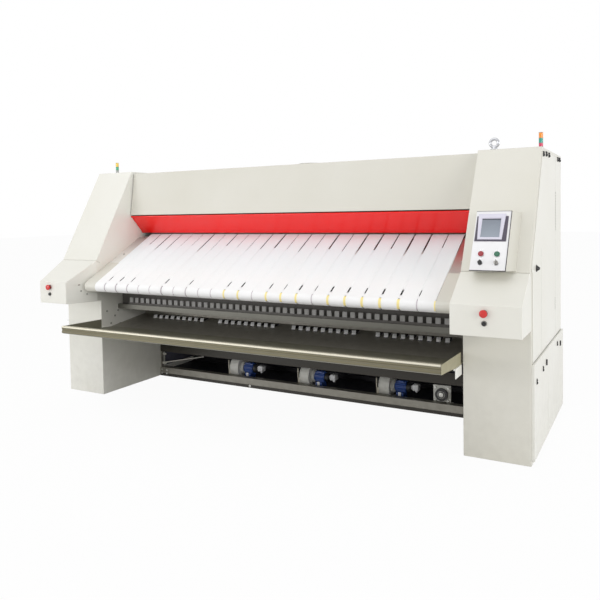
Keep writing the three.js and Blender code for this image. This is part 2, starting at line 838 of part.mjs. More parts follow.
// ---------------------------------------------------------------------------------------------
// Finger guard: a red plate that hangs from two pins under the hood
// ---------------------------------------------------------------------------------------------
const guardEndGap = 4;
const guardPinReach = 12; // into the cabinet's inner wall and the side frame
const guardHead = 8; // plate above the hinge line

function makeGuard() {
  const end = halfInner - guardEndGap;
  const run = Math.hypot(guardFootY - guardHingeY, guardFootZ - guardHingeZ);
  const u = [(guardFootY - guardHingeY) / run, (guardFootZ - guardHingeZ) / run];
  const half = guardThickness / 2;
  const at = (along, up) => [
    guardHingeY + u[0] * along - u[1] * up,
    guardHingeZ + u[1] * along + u[0] * up,
  ];
  const corners = [at(run, -half), at(run, half), at(-guardHead, half), at(-guardHead, -half)];
  const pinEnd = halfInner + guardPinReach;
  const pin = barX(guardPinRadius, -pinEnd, pinEnd, guardHingeY, guardHingeZ, 12);
  return joined(alongX(corners, -end, end), pin);
}
addPiece("finger_guard", makeGuard(), finishes.guardRed);

// ---------------------------------------------------------------------------------------------
// Ironing roll, its felt padding, its bearings and the heated chest below it
// ---------------------------------------------------------------------------------------------
const bearingLength = 70;
const bearingBlock = 85;
const sprocketWidth = 14;
const sprocketStandoff = 20; // from the bearing
const sprocketX = -(frameOuter + bearingLength + sprocketStandoff + sprocketWidth);
const journalOverhang = 20;
const windowRadius = 54;
const rollSides = 40;
const rollWall = 10;
const endWindowCount = 4; // windows in each end disc of the roll

function makeRoll() {
  const outside = shaftX(
    [
      [sprocketX - journalOverhang, -rollHalfLength, journalRadius],
      [-rollHalfLength, rollHalfLength, rollRadius],
      [rollHalfLength, -sprocketX, journalRadius],
    ],
    rollY,
    rollZ,
    rollSides,
  );
  const hollowHalf = rollHalfLength - rollWall;
  const windowAt = (rollRadius + journalRadius) / 2;
  const windows = Array.from({ length: endWindowCount }, (_, i) => {
    const angle = ((i + 0.5) / endWindowCount) * 2 * Math.PI;
    const y = rollY + windowAt * Math.cos(angle);
    const z = rollZ + windowAt * Math.sin(angle);
    return barX(windowRadius, -rollHalfLength - pierce, rollHalfLength + pierce, y, z, 8);
  });
  const hollow = barX(rollRadius - rollWall, -hollowHalf, hollowHalf, rollY, rollZ, 24);
  return without(outside, hollow, ...windows);
}
addPiece("ironing_roll", makeRoll(), finishes.steel);

const paddingEndGap = 10; // bare steel at each end of the roll

function makePadding() {
  const end = rollHalfLength - paddingEndGap;
  const sleeve = barX(paddedRadius, -end, end, rollY, rollZ, rollSides);
  const core = barX(rollRadius + gap, -end - pierce, end + pierce, rollY, rollZ, rollSides);
  return without(sleeve, core);
}
addPiece("roll_padding", makePadding(), finishes.felt);

const chestOverhang = 20; // chest beyond each end of the roll

function makeChest() {
  const end = rollHalfLength + chestOverhang;
  const from = 180 - chestLipRise;
  const to = 360 + chestLipRise;
  const profile = [
    ...arc(rollY, rollZ, chestOuter, from, to, 20),
    ...arc(rollY, rollZ, chestInner, to, from, 20),
  ];
  const beam = rectangle(
    rollY - chestBeamHalfWidth,
    rollY + chestBeamHalfWidth,
    chestBeamZ,
    chestBeamZ + chestBeamHeight,
  );
  return joined(alongX(profile, -end, end), alongX(beam, -frameOuter, frameOuter));
}
addPiece("heated_chest", makeChest(), finishes.castGrey);

function makeRollBearing() {
  const x0 = frameOuter + gap;
  const x1 = x0 + bearingLength;
  const housing = block(
    x0,
    x1,
    rollY - bearingBlock,
    rollY + bearingBlock,
    rollZ - bearingBlock,
    rollZ + bearingBlock,
  );
  return without(housing, holeX(journalRadius, x0 - pierce, x1 + pierce, rollY, rollZ, 24));
}
for (const [name, side] of SIDES) {
  addPiece(`${name}_roll_bearing`, mirrored(makeRollBearing(), side), finishes.castGrey);
}

// ---------------------------------------------------------------------------------------------
// Drive in the left cabinet: gearmotor, two sprockets and a chain
// ---------------------------------------------------------------------------------------------
const motorSprocketRadius = 55;
const rollSprocketRadius = 150;
const gearmotorY = 760;
const gearmotorZ = 300;
const gearShaftRadius = 18;
const gearboxLength = 120;
const gearboxHalf = 80;
const gearboxFootDrop = 104; // gearbox foot below its output shaft
const gearboxFootPlate = 12;
const gearboxStandoff = 22; // from the sprocket to the gearbox
const driveMotorLength = 260;
const driveMotorRadius = 60;
const gearShaftOverhang = 7; // past the sprocket
const chainThickness = 8;
const chainSideGap = 2; // chain's edges within the sprockets' faces

function makeGearmotor() {
  const face = sprocketX - gearboxStandoff;
  const back = face - gearboxLength;
  const [y0, y1] = [gearmotorY - gearboxHalf, gearmotorY + gearboxHalf];
  const foot = gearmotorZ - gearboxFootDrop;
  const stubEnd = sprocketX + sprocketWidth + gearShaftOverhang;
  const motorX = (back + face) / 2;
  return joined(
    block(back, face, y0, y1, foot, gearmotorZ + gearboxHalf),
    barY(driveMotorRadius, y1 - weld, y1 + driveMotorLength, motorX, gearmotorZ, 16),
    barX(gearShaftRadius, face - weld, stubEnd, gearmotorY, gearmotorZ),
    block(back, -frameOuter - gap, y0, y1, foot, foot + gearboxFootPlate),
  );
}

function makeSprocket(radius, bore, y, z, sides) {
  const wheel = barX(radius, sprocketX, sprocketX + sprocketWidth, y, z, sides);
  const [x0, x1] = [sprocketX - pierce, sprocketX + sprocketWidth + pierce];
  return without(wheel, holeX(bore, x0, x1, y, z, 20));
}

// A band around the two sprockets, at a height above their rims.
function chainLoop(height) {
  const steps = 16;
  const mostWrap = 200; // degrees; neither sprocket is wrapped further
  const clear = 1 / Math.cos(THREE.MathUtils.degToRad(mostWrap / (2 * steps)));
  const low = (motorSprocketRadius + height) * clear;
  const high = (rollSprocketRadius + height) * clear;
  const distance = Math.hypot(rollY - gearmotorY, rollZ - gearmotorZ);
  const lean = THREE.MathUtils.radToDeg(Math.atan2(rollZ - gearmotorZ, rollY - gearmotorY));
  const wrap = 180 - THREE.MathUtils.radToDeg(Math.acos((high - low) / distance));
  return [
    ...arc(rollY, rollZ, high, lean - wrap, lean + wrap, steps),
    ...arc(gearmotorY, gearmotorZ, low, lean + wrap, lean + 360 - wrap, steps),
  ];
}

function makeChain() {
  const x0 = sprocketX + chainSideGap;
  const x1 = sprocketX + sprocketWidth - chainSideGap;
  const band = alongX(chainLoop(chainThickness), x0, x1);
  return without(band, alongX(chainLoop(gap), x0 - pierce, x1 + pierce));
}

addPiece("gearmotor", makeGearmotor(), finishes.motorBlue);
addPiece(
  "motor_sprocket",
  makeSprocket(motorSprocketRadius, gearShaftRadius, gearmotorY, gearmotorZ, 20),
  finishes.steel,
);
addPiece(
  "roll_sprocket",
  makeSprocket(rollSprocketRadius, journalRadius, rollY, rollZ, 32),
  finishes.steel,
);
addPiece("drive_chain", makeChain(), finishes.steel);

// ---------------------------------------------------------------------------------------------
// Return chute with its slots, linen tray, cross bar and castellated guide rail
// ---------------------------------------------------------------------------------------------
const chuteLean = 10; // how far the chute's back leans away from the front
const slotSetback = 20; // slots before the chute's bend
const slotGroupPitch = (innerWidth - 2 * slotMargin) / slotGroups;

function makeChute() {
  const profile = [
    [trayRearY + gap, trayRearZ],
    [chuteBreakY, chuteBreakZ],
    [chuteBreakY + chuteLean, chuteTopZ],
    [chuteBreakY + chuteLean + traySheet, chuteTopZ],
    [chuteBreakY + traySheet, chuteBreakZ - traySheet / 2],
    [trayRearY + gap, trayRearZ - traySheet],
  ];
  const slotRear = chuteBreakY - slotSetback;
  const cuts = [];
  for (let group = 0; group < slotGroups; group++) {
    const centre = (group - (slotGroups - 1) / 2) * slotGroupPitch;
    for (let i = 0; i < slotsPerGroup; i++) {
      const x = centre + (i - (slotsPerGroup - 1) / 2) * slotPitch;
      const [x0, x1] = [x - slotWidth / 2, x + slotWidth / 2];
      cuts.push(block(x0, x1, slotRear - slotLength, slotRear, trayRearZ - traySheet, chuteTopZ));
    }
  }
  return without(alongX(profile, -coverEnd, coverEnd), ...cuts);
}
addPiece("return_chute", makeChute(), finishes.trayBrown);

const trayEndGap = 8; // from the tray to the cabinets
const trayEnd = halfInner - trayEndGap;
const trayLipDepth = 26;
const trayFlange = 14; // turned back along the top of the lip
const trayGroove = 5;
const trayRib = 18; // plain band above and below the lip's groove
const trayCheekLow = 546;
const trayCheekRear = -12;
const trayCheekDrop = 8; // rear top corner below the lip

function makeTray() {
  const t = traySheet;
  const [front, back] = [trayLipY, trayLipY + trayLipDepth];
  const [top, low] = [trayLipZ, trayLipZ - trayLipHeight];
  const profile = [
    [front, low + t],
    [front + 3 * t, low - t],
    [trayRearY, trayRearZ - t],
    [trayRearY, trayRearZ],
    [back, low + t / 2],
    [back, top - t],
    [back + trayFlange, top - t],
    [back + trayFlange, top],
    [front, top],
    [front, top - trayRib],
    [front + trayGroove, top - trayRib - t],
    [front + trayGroove, low + trayRib + t],
    [front, low + trayRib],
  ];
  const cheek = [
    [back - trayGroove, low],
    [trayCheekRear, trayCheekLow],
    [trayCheekRear, top - trayCheekDrop],
    [back - trayGroove, top],
  ];
  return joined(
    alongX(profile, -trayEnd, trayEnd),
    alongX(cheek, -trayEnd, -trayEnd + t),
    alongX(cheek, trayEnd - t, trayEnd),
  );
}
addPiece("linen_tray", makeTray(), finishes.trayBrown);

function makeCrossBar() {
  return block(
    -coverEnd,
    coverEnd,
    crossBarY,
    crossBarY + crossBarDepth,
    crossBarZ - crossBarHeight,
    crossBarZ,
  );
}
addPiece("cross_bar", makeCrossBar(), finishes.steel);

const toothPitch = 60;
const railEndSpace = 100; // at least, from the first tooth's share to the cabinet
const toothCount = Math.floor((innerWidth - 2 * railEndSpace) / toothPitch);
const toothWidth = 34;
const toothHeight = 44;
const railWeb = 14;
const railInset = 6; // rail behind the cross bar's front face
const railThickness = 8;

function makeGuideRail() {
  const low = crossBarZ + gap;
  const half = (toothCount * toothPitch) / 2;
  const points = [
    [-half, low],
    [half, low],
  ];
  for (let i = toothCount - 1; i >= 0; i--) {
    const x = -half + (i + 0.5) * toothPitch;
    points.push(
      [x + toothWidth / 2, low + railWeb],
      [x + toothWidth / 2, low + railWeb + toothHeight],
      [x - toothWidth / 2, low + railWeb + toothHeight],
      [x - toothWidth / 2, low + railWeb],
    );
  }
  points.splice(2, 0, [half, low + railWeb]);
  points.push([-half, low + railWeb]);
  const front = crossBarY + railInset;
  return alongY(points, front, front + railThickness);
}
addPiece("guide_rail", makeGuideRail(), finishes.steel);

// ---------------------------------------------------------------------------------------------
// Blowers: scroll housing, motor and fan wheel, three alike on the shelf of the base frame
// ---------------------------------------------------------------------------------------------
const scrollWall = 3;
const blowerY = beamSetback + beamWidth + blowerClearance + scrollRadius;
const blowerZ = shelfTop + gap + scrollRadius;
const motorShaftRadius = 9;
const outletWidth = 92;
const outletHeight = 70; // above the drum
const eyeRadius = fanRadius - 22; // air inlet
const bracketHalf = 70;
const bracketPlate = 4;
const bracketRise = 50; // of the bracket's cheek above the fan's axis
const bracketToe = 28; // foot plate in front of the scroll's side
const shaftReach = 55; // of the fan shaft into the motor
const shaftEndSpace = 5;
const motorFlange = 8; // how far the motor's flange stands out, and its thickness
const motorFootHalf = 44;
const motorFootInset = 30; // from the motor's two ends
const motorFootTop = 40; // below the motor's axis
const terminalLength = 42;
const terminalHalf = 27;
const terminalRise = 30; // terminal box above the motor's axis
const terminalFall = 20; // and below it

function makeScroll(x) {
  const [x0, x1] = [x - scrollWidth / 2, x + scrollWidth / 2];
  const [in0, in1] = [x0 + scrollWall, x1 - scrollWall];
  const back = blowerY + scrollRadius;
  const top = blowerZ + scrollRadius + outletHeight;
  const foot = shelfTop + gap;
  const bracketY = [blowerY - bracketHalf, blowerY + bracketHalf];
  const outside = joined(
    barX(scrollRadius, x0, x1, blowerY, blowerZ, 24),
    block(x0, x1, back - outletWidth, back, blowerZ, top),
    block(x0 - bracketPlate, x0 + weld, ...bracketY, foot, blowerZ + bracketRise),
    block(x0 - bracketToe, x1, ...bracketY, foot, foot + bracketPlate),
  );
  return without(
    outside,
    barX(scrollRadius - scrollWall, in0, in1, blowerY, blowerZ, 24),
    block(in0, in1, back - outletWidth + scrollWall, back - scrollWall, blowerZ, top + pierce),
    barX(eyeRadius, x0 - bracketPlate - pierce, in0 + pierce, blowerY, blowerZ, 20),
    holeX(motorShaftRadius + bracketPlate, in1 - pierce, x1 + pierce, blowerY, blowerZ),
  );
}

function makeBlowerMotor(x) {
  const x0 = x + scrollWidth / 2 + gap;
  const end = x0 + motorLength;
  const foot = [x0 + motorFootInset, end - motorFootInset];
  const footY = [blowerY - motorFootHalf, blowerY + motorFootHalf];
  const boxY = [blowerY - terminalHalf, blowerY + terminalHalf];
  const boxZ = [blowerZ - terminalFall, blowerZ + terminalRise];
  const outside = joined(
    barX(motorRadius + motorFlange, x0, x0 + motorFlange, blowerY, blowerZ, 20),
    barX(motorRadius, x0 + weld, end, blowerY, blowerZ, 20),
    block(...foot, ...footY, shelfTop + gap, blowerZ - motorFootTop),
    block(end - weld, end + terminalLength, ...boxY, ...boxZ),
  );
  const boreEnd = x0 + shaftReach + shaftEndSpace;
  return without(outside, holeX(motorShaftRadius, x0 - pierce, boreEnd, blowerY, blowerZ));
}

const fanSideGap = 6;
const fanBlade = 8; // depth of the bladed rim

function makeFanWheel(x) {
  const half = scrollWidth / 2 - scrollWall - fanSideGap;
  const [x0, x1] = [x - half, x + half];
  const cup = barX(fanRadius, x0, x1, blowerY, blowerZ, 20);
  const hollow = barX(fanRadius - fanBlade, x0 - pierce, x1 - bracketPlate, blowerY, blowerZ, 20);
  const shaftEnd = x + scrollWidth / 2 + gap + shaftReach;
  const shaft = barX(motorShaftRadius, x, shaftEnd, blowerY, blowerZ, 16);
  return joined(without(cup, hollow), shaft);
}

for (let i = 0; i < 3; i++) {
  const x = blowerMiddleX + (i - 1) * blowerPitch;
  addPiece(`blower_${i + 1}_scroll`, makeScroll(x), finishes.castGrey);
  addPiece(`blower_${i + 1}_motor`, makeBlowerMotor(x), finishes.motorBlue);
  addPiece(`blower_${i + 1}_fan`, makeFanWheel(x), finishes.steel);
}

// A square flanged bearing unit on an angle bracket behind the front beam.
const flangeInset = 361; // its axis from the right cabinet
const flangeX = halfInner - flangeInset;
const flangeStandoff = 10; // behind the front beam
const flangeHubRise = 12; // bottom of its hub above the front beam
const flangeHalf = 66;
const flangePlate = 16;
const flangeHubRadius = 40;
const flangeHubReach = 22;
const flangeBoreRadius = 18;
const flangeZ = beamHeight + flangeHubRadius + flangeHubRise;

function makeFlangeBearing() {
  const y0 = beamSetback + beamWidth + flangeStandoff;
  const y1 = y0 + flangePlate;
  const hubFront = y0 - flangeHubReach;
  const [x0, x1] = [flangeX - flangeHalf, flangeX + flangeHalf];
  const low = shelfTop + gap;
  const outside = joined(
    block(x0, x1, y0, y1, low, flangeZ + flangeHalf),
    barY(flangeHubRadius, hubFront, y0 + weld, flangeX, flangeZ, 20),
    block(x0, x1, y1 - weld, y1 + flangeHalf, low, low + flangePlate),
  );
  const bore = barY(flangeBoreRadius, hubFront - pierce, y1 + pierce, flangeX, flangeZ, 16);
  return without(outside, bore);
}
addPiece("flange_bearing", makeFlangeBearing(), finishes.castGrey);

// ---------------------------------------------------------------------------------------------
// Touch-screen box on the right cabinet's sloping front, modelled in the slope's own frame
// ---------------------------------------------------------------------------------------------
// There, local Z runs up the slope and local -Y points out of it.
const slopeGroup = new THREE.Group();
slopeGroup.position.set(0, -kneeReach, kneeHeight);
slopeGroup.rotation.x = -Math.atan2(topSetback + kneeReach, cabinetHeight - kneeHeight);
machine.add(slopeGroup);

const boxInset = 77; // from both sides of the cabinet
const boxLeft = halfInner + boxInset;
const boxRight = halfOuter - boxInset;
const boxLow = 8;
const boxHeight = 388;
const boxDepth = 100;
const boxDrop = 48; // how much lower the box's face lies than its foot
const boxDrawIn = 36; // how much the right side is drawn in towards the face
const boxFaceRight = boxRight - boxDrawIn;
const controlInset = 56; // of the buttons and switches from the face's two sides
const controlLeftX = boxLeft + controlInset;
const controlRightX = boxFaceRight - controlInset;
const buttonRow = 65;
const switchRow = 10;
const screenLeftMargin = 13;
const screenRightMargin = 33;
const screenLeft = boxLeft + screenLeftMargin;
const screenWidth = boxFaceRight - screenRightMargin - screenLeft;
const screenLow = 158;
const screenHeight = 160;
const screenThickness = 9;
const screenSunk = 3;
const bezelSide = 18;
const bezelFoot = 14;
const bezelHead = 20;

function makeControlBox() {
  const profile = [
    [-gap, boxLow],
    [-gap, boxLow + boxHeight],
    [-boxDepth, boxLow + boxHeight - boxDrop],
    [-boxDepth, boxLow - boxDrop],
  ];
  const hollow = inset(profile, sheet).map(([y, z]) => [y > -boxDepth / 2 ? pierce : y, z]);
  const reach = [0, -boxDepth - pierce, boxLow - boxDrop - pierce, boxLow + boxHeight + pierce];
  const taper = sideTaper(boxRight, boxDrawIn, ...reach);
  const innerTaper = sideTaper(boxRight - sheet, boxDrawIn, ...reach);
  const through = [-boxDepth - pierce, -boxDepth + 2 * sheet];
  return without(
    without(alongX(profile, boxLeft, boxRight), taper),
    without(alongX(hollow, boxLeft + sheet, boxRight - sheet), innerTaper),
    holeY(pushStem, ...through, controlLeftX, buttonRow, 20),
    holeY(pushStem, ...through, controlRightX, buttonRow, 20),
    holeY(pushStem, ...through, controlLeftX, switchRow, 20),
    holeY(pushStem, ...through, controlRightX, switchRow, 20),
  );
}

// The screen is a thin framed panel that lies on the box's face.
function makeScreen() {
  const back = -boxDepth - gap;
  const face = back - screenThickness;
  const [x0, x1] = [screenLeft, screenLeft + screenWidth];
  const [z0, z1] = [screenLow, screenLow + screenHeight];
  const sunk = block(
    x0 + bezelSide,
    x1 - bezelSide,
    face - pierce,
    face + screenSunk,
    z0 + bezelFoot,
    z1 - bezelHead,
  );
  return without(block(x0, x1, face, back, z0, z1), sunk);
}

// A turned knob with a raised grip bar, or with a key in place of the bar.
const knobHeight = 10;
const knobRadius = 13;
const gripWidth = 7;
const gripReach = 18;
const keyWidth = 3;
const keyReach = 26;

function makeTurnSwitch(x, width, reach) {
  const steps = [
    [-knobHeight, -gap, knobRadius],
    [-gap, stemLength, pushStem],
  ];
  const body = turnedButton(steps, x, -boxDepth, switchRow);
  const [x0, x1] = [x - width / 2, x + width / 2];
  const [z0, z1] = [switchRow - pushRadius, switchRow + pushRadius];
  const front = -boxDepth - reach;
  return joined(body, block(x0, x1, front, -boxDepth - knobHeight + weld, z0, z1));
}

addPiece("control_box", makeControlBox(), finishes.white, slopeGroup);
addPiece("touch_screen", makeScreen(), finishes.screen, slopeGroup);
addPiece(
  "stop_button",
  makePushButton(startRadius, controlLeftX, -boxDepth, buttonRow),
  finishes.red,
  slopeGroup,
);
addPiece(
  "start_button",
  makePushButton(startRadius, controlRightX, -boxDepth, buttonRow),
  finishes.green,
  slopeGroup,
);
addPiece(
  "mode_selector",
  makeTurnSwitch(controlLeftX, gripWidth, gripReach),
  finishes.black,
  slopeGroup,
);
addPiece(
  "key_switch",
  makeTurnSwitch(controlRightX, keyWidth, keyReach),
  finishes.steel,
  slopeGroup,
);

// ---------------------------------------------------------------------------------------------
// Signal lamps and lifting eye on top of the cabinets
// ---------------------------------------------------------------------------------------------
const lampInset = 34; // lamp axis from the cabinet's outer side
const lampY = 585;
const lampRadius = 14;
const lampHeight = 108;
const lampFoot = 14;
const lampFlange = 5; // how far its foot stands out
const eyeInset = 97; // from the cabinet's inner side
const eyeSetback = 37; // from its top front edge
const eyeX = halfInner + eyeInset;
const eyeY = topSetback + eyeSetback;
const eyeRing = 26;
const eyeWire = 9;
const eyeCollar = 12;

function makeSignalLamp() {
  const x = halfOuter - lampInset;
  const low = cabinetHeight + gap;
  const foot = low + lampFoot;
  return joined(
    barZ(lampRadius + lampFlange, low, foot, x, lampY, 20),
    barZ(lampRadius, foot - weld, low + lampHeight, x, lampY, 20),
  );
}
for (const [name, side] of SIDES) {
  addPiece(`${name}_signal_lamp`, mirrored(makeSignalLamp(), side), finishes.lamp);
}

function makeLiftingEye() {
  const low = cabinetHeight + gap;
  const collarTop = low + eyeCollar;
  const ring = new THREE.TorusGeometry(eyeRing, eyeWire, 10, 20);
  ring.rotateX(Math.PI / 2);
  ring.translate(eyeX, eyeY, collarTop + eyeRing + eyeWire / 2);
  return joined(solid(ring), barZ(2 * eyeWire, low, collarTop, eyeX, eyeY, 16));
}
addPiece("lifting_eye", makeLiftingEye(), finishes.steel);

export default machine;
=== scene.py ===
"""Looks of a wide flatwork ironer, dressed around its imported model."""
from math import acos, atan2, cos, pi, radians, sin

import bmesh
import bpy
from mathutils import Matrix, Quaternion, Vector


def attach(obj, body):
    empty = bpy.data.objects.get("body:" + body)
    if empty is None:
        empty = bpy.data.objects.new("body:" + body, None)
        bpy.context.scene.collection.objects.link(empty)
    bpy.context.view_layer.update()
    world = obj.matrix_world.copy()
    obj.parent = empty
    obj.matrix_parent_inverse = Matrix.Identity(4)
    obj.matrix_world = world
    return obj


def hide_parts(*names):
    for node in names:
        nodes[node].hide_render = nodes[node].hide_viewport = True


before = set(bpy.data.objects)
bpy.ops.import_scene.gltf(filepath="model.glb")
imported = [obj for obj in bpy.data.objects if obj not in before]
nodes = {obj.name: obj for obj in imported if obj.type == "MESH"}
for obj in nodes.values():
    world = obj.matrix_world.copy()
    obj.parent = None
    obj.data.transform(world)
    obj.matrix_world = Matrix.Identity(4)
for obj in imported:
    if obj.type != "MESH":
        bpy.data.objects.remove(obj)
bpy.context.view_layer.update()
scene = bpy.context.scene
scene.view_settings.view_transform = "Standard"


# ---- Camera ----
# The photograph was taken from eye height, off the right end of the machine, with a lens that
# is shifted down a little.
camera = bpy.data.objects.new("camera", bpy.data.cameras.new("camera"))
scene.collection.objects.link(camera)
scene.camera = camera
camera.data.sensor_width = 36
camera.data.lens = 38.36
camera.data.shift_y = -0.101
yaw, pitch, roll = radians(29.169), radians(-2.339), radians(-0.972)
looks_along = Vector((-sin(yaw) * cos(pitch), cos(yaw) * cos(pitch), sin(pitch)))
level = looks_along.to_track_quat("-Z", "Y")
camera.rotation_euler = (level @ Quaternion((0, 0, 1), roll)).to_euler()
camera.location = (2.5113, -4.2591, 1.4789)


# ---- Floor, background and lamps ----
# A pale studio floor that keeps the machine's shadow, white all round, a wide soft lamp above
# the front, two at eye height and a weak one on the right side.
def wire(tree, kind, inputs=None, **settings):
    """Adds a node; an input that is another node's output is linked, any other is set."""
    made = tree.nodes.new("ShaderNode" + kind)
    for key, value in settings.items():
        setattr(made, key, value)
    for key, value in (inputs or {}).items():
        if isinstance(value, bpy.types.NodeSocket):
            tree.links.new(value, made.inputs[key])
        else:
            made.inputs[key].default_value = value
    return made


def maths(tree, operation, first, second):
    return wire(tree, "Math", {0: first, 1: second}, operation=operation).outputs[0]


def seen_directly(tree):
    """1 for camera, mirror and glass rays, and 0 for rays that light the object."""
    path = wire(tree, "LightPath").outputs
    seen = maths(tree, "MAXIMUM", path["Is Camera Ray"], path["Is Glossy Ray"])
    return maths(tree, "MAXIMUM", seen, path["Is Transmission Ray"])


floor_paint = bpy.data.materials.new("floor_paint")
floor_paint.use_nodes = True
tree = floor_paint.node_tree
tree.nodes.clear()
matt = wire(tree, "BsdfDiffuse", {"Color": (0.86, 0.86, 0.86, 1)})
bright = wire(tree, "Emission", {"Color": (1, 1, 1, 1), "Strength": 1})
share = maths(tree, "MULTIPLY", seen_directly(tree), 0.95)
mixed = wire(tree, "MixShader", {0: share, 1: matt.outputs[0], 2: bright.outputs[0]})
tree.links.new(mixed.outputs[0], wire(tree, "OutputMaterial").inputs[0])

bm = bmesh.new()
bmesh.ops.create_grid(bm, x_segments=1, y_segments=1, size=40)
floor = bpy.data.objects.new("floor", bpy.data.meshes.new("floor"))
bm.to_mesh(floor.data)
bm.free()
floor.data.materials.append(floor_paint)
scene.collection.objects.link(floor)

world = bpy.data.worlds.new("studio")
scene.world = world
world.use_nodes = True
tree = world.node_tree
tree.nodes.clear()
strength = wire(tree, "MapRange", {0: seen_directly(tree), 3: 0.66, 4: 1.0})
sky = wire(tree, "Background", {"Color": (1, 1, 1, 1), "Strength": strength.outputs[0]})
tree.links.new(sky.outputs[0], wire(tree, "OutputWorld").inputs[0])

for name, place, aim, size, watts in (
        ("ceiling_lamp", (-0.6, -2.6, 5.2), (0, 0, 0.9), (7, 3.5), 80),
        ("left_front_lamp", (-5.4, -6.8, 1.6), (-0.8, 0, 0.8), (4, 2.4), 122),
        ("right_front_lamp", (9.6, -3.9, 2.6), (-1.2, 0, 0.8), (4, 2.4), 212),
        ("side_lamp", (6.5, 2.0, 3.2), (0, 0, 1), (3, 3), 30)):
    lamp = bpy.data.objects.new(name, bpy.data.lights.new(name, "AREA"))
    lamp.data.shape = "RECTANGLE"
    lamp.data.size, lamp.data.size_y = size
    lamp.data.energy = watts
    lamp.location = place
    lamp.rotation_euler = (Vector(aim) - Vector(place)).to_track_quat("-Z", "Y").to_euler()
    scene.collection.objects.link(lamp)


# ---- Base frame ----
# Two welded box beams, the blower shelf and a thin tie rail, in grey primer that has gone
# dusty. Bolt heads hold the front beam to the cabinets.
fronts_to_middle = 467.5


def at(x, y, z):
    """A place in millimetres: x from the middle, y behind the lower fronts, z above the floor."""
    return Vector((x, y - fronts_to_middle, z)) / 1000


def srgb(red, green, blue):
    linear = [c / 3294.6 if c < 10.3 else ((c / 255 + 0.055) / 1.055) ** 2.4 for c in (red, green, blue)]
    return (*linear, 1)


def shared_effect(name, inputs):
    """A node group that gives a colour, a roughness and a height from its named inputs."""
    group = bpy.data.node_groups.new(name, "ShaderNodeTree")
    for label, kind, value in inputs:
        socket = group.interface.new_socket(label, in_out="INPUT", socket_type="NodeSocket" + kind)
        socket.default_value = value
    for label, kind in (("Colour", "Color"), ("Roughness", "Float"), ("Height", "Float")):
        group.interface.new_socket(label, in_out="OUTPUT", socket_type="NodeSocket" + kind)
    return group, group.nodes.new("NodeGroupInput").outputs


def gives(group, **results):
    """Links a shared effect's results to what it gives."""
    leave = group.nodes.new("NodeGroupOutput").inputs
    for label, result in results.items():
        group.links.new(result, leave[label])


def on_object(tree, axis=None):
    """The place on the object in metres, or its part along X, Y or Z (0, 1 or 2)."""
    place = wire(tree, "TexCoord").outputs["Object"]
    return place if axis is None else wire(tree, "SeparateXYZ", {0: place}).outputs[axis]


def noise(tree, place, scale, detail=3.0, stretch=None):
    """Fine to broad mottling; stretch pulls it along an axis."""
    if stretch:
        place = wire(tree, "Mapping", {"Vector": place, "Scale": stretch}).outputs[0]
    return wire(tree, "TexNoise", {"Vector": place, "Scale": scale, "Detail": detail}).outputs["Fac"]


def ramp(tree, value, low, high, to_low=0.0, to_high=1.0):
    return wire(tree, "MapRange", {0: value, 1: low, 2: high, 3: to_low, 4: to_high}).outputs[0]


def blended(tree, share, first, second, mode="MIX"):
    mix = wire(tree, "Mix", {0: share, 6: first, 7: second}, data_type="RGBA", blend_type=mode)
    return mix.outputs[2]


def times(tree, first, second):
    return maths(tree, "MULTIPLY", first, second)


def plus(tree, first, second):
    return maths(tree, "ADD", first, second)


# Coated sheet metal: cloudy tone, fine orange peel, dust towards the floor and a few rubs.
coat, given = shared_effect("coated_metal", [
    ("Colour", "Color", (1, 1, 1, 1)), ("Soil", "Color", (0.2, 0.17, 0.13, 1)), ("Dirt", "Float", 0.3),
    ("Dirt Height", "Float", 0.5), ("Gloss", "Float", 0.45), ("Peel", "Float", 1.0)])
place = on_object(coat)
cloud = noise(coat, place, 1.3, 4)
rubs = ramp(coat, noise(coat, place, 5, 6, (1, 1, 0.35)), 0.62, 0.78)
low = maths(coat, "DIVIDE", on_object(coat, 2), given["Dirt Height"])
speckle = ramp(coat, noise(coat, place, 17, 8), 0.35, 0.75)
dust = times(coat, times(coat, ramp(coat, low, 0, 1, 1, 0), speckle), given["Dirt"])
dust = plus(coat, dust, times(coat, rubs, times(coat, given["Dirt"], 0.16)))
tones = [ramp(coat, cloud, 0.3, 0.7, *ends) for ends in ((0.955, 1.02), (0.95, 1.02), (0.93, 1.03))]
tone = wire(coat, "CombineXYZ", dict(enumerate(tones))).outputs[0]
toned = blended(coat, 1.0, given["Colour"], tone, "MULTIPLY")
rough = plus(coat, given["Gloss"], times(coat, cloud, 0.12))
gives(coat, Colour=blended(coat, dust, toned, given["Soil"]),
      Roughness=plus(coat, rough, times(coat, dust, 0.4)),
      Height=times(coat, noise(coat, place, 420, 2), given["Peel"]))


def finish_of(effect, name, metallic=0.0, bump=0.0004, sockets=None, **settings):
    """A material with one shared effect in front of its own shader."""
    made = bpy.data.materials.new(name)
    made.use_nodes = True
    tree = made.node_tree
    shader = tree.nodes["Principled BSDF"]
    shader.inputs["Metallic"].default_value = metallic
    for key, value in settings.items():
        shader.inputs[key.replace("_", " ")].default_value = value
    group = tree.nodes.new("ShaderNodeGroup")
    group.node_tree = effect
    for key, value in (sockets or {}).items():
        group.inputs[key].default_value = value
    tree.links.new(group.outputs["Colour"], shader.inputs["Base Color"])
    tree.links.new(group.outputs["Roughness"], shader.inputs["Roughness"])
    relief = wire(tree, "Bump", {"Height": group.outputs["Height"], "Distance": bump, "Strength": 0.6})
    tree.links.new(relief.outputs[0], shader.inputs["Normal"])
    return made


def coated(name, colour, dirt=0.3, reach=0.5, gloss=0.42, soil=(60, 54, 44), peel=1.0, **settings):
    return finish_of(coat, name, sockets={
        "Colour": srgb(*colour), "Soil": srgb(*soil), "Dirt": dirt, "Dirt Height": reach, "Gloss": gloss,
        "Peel": peel}, **settings)


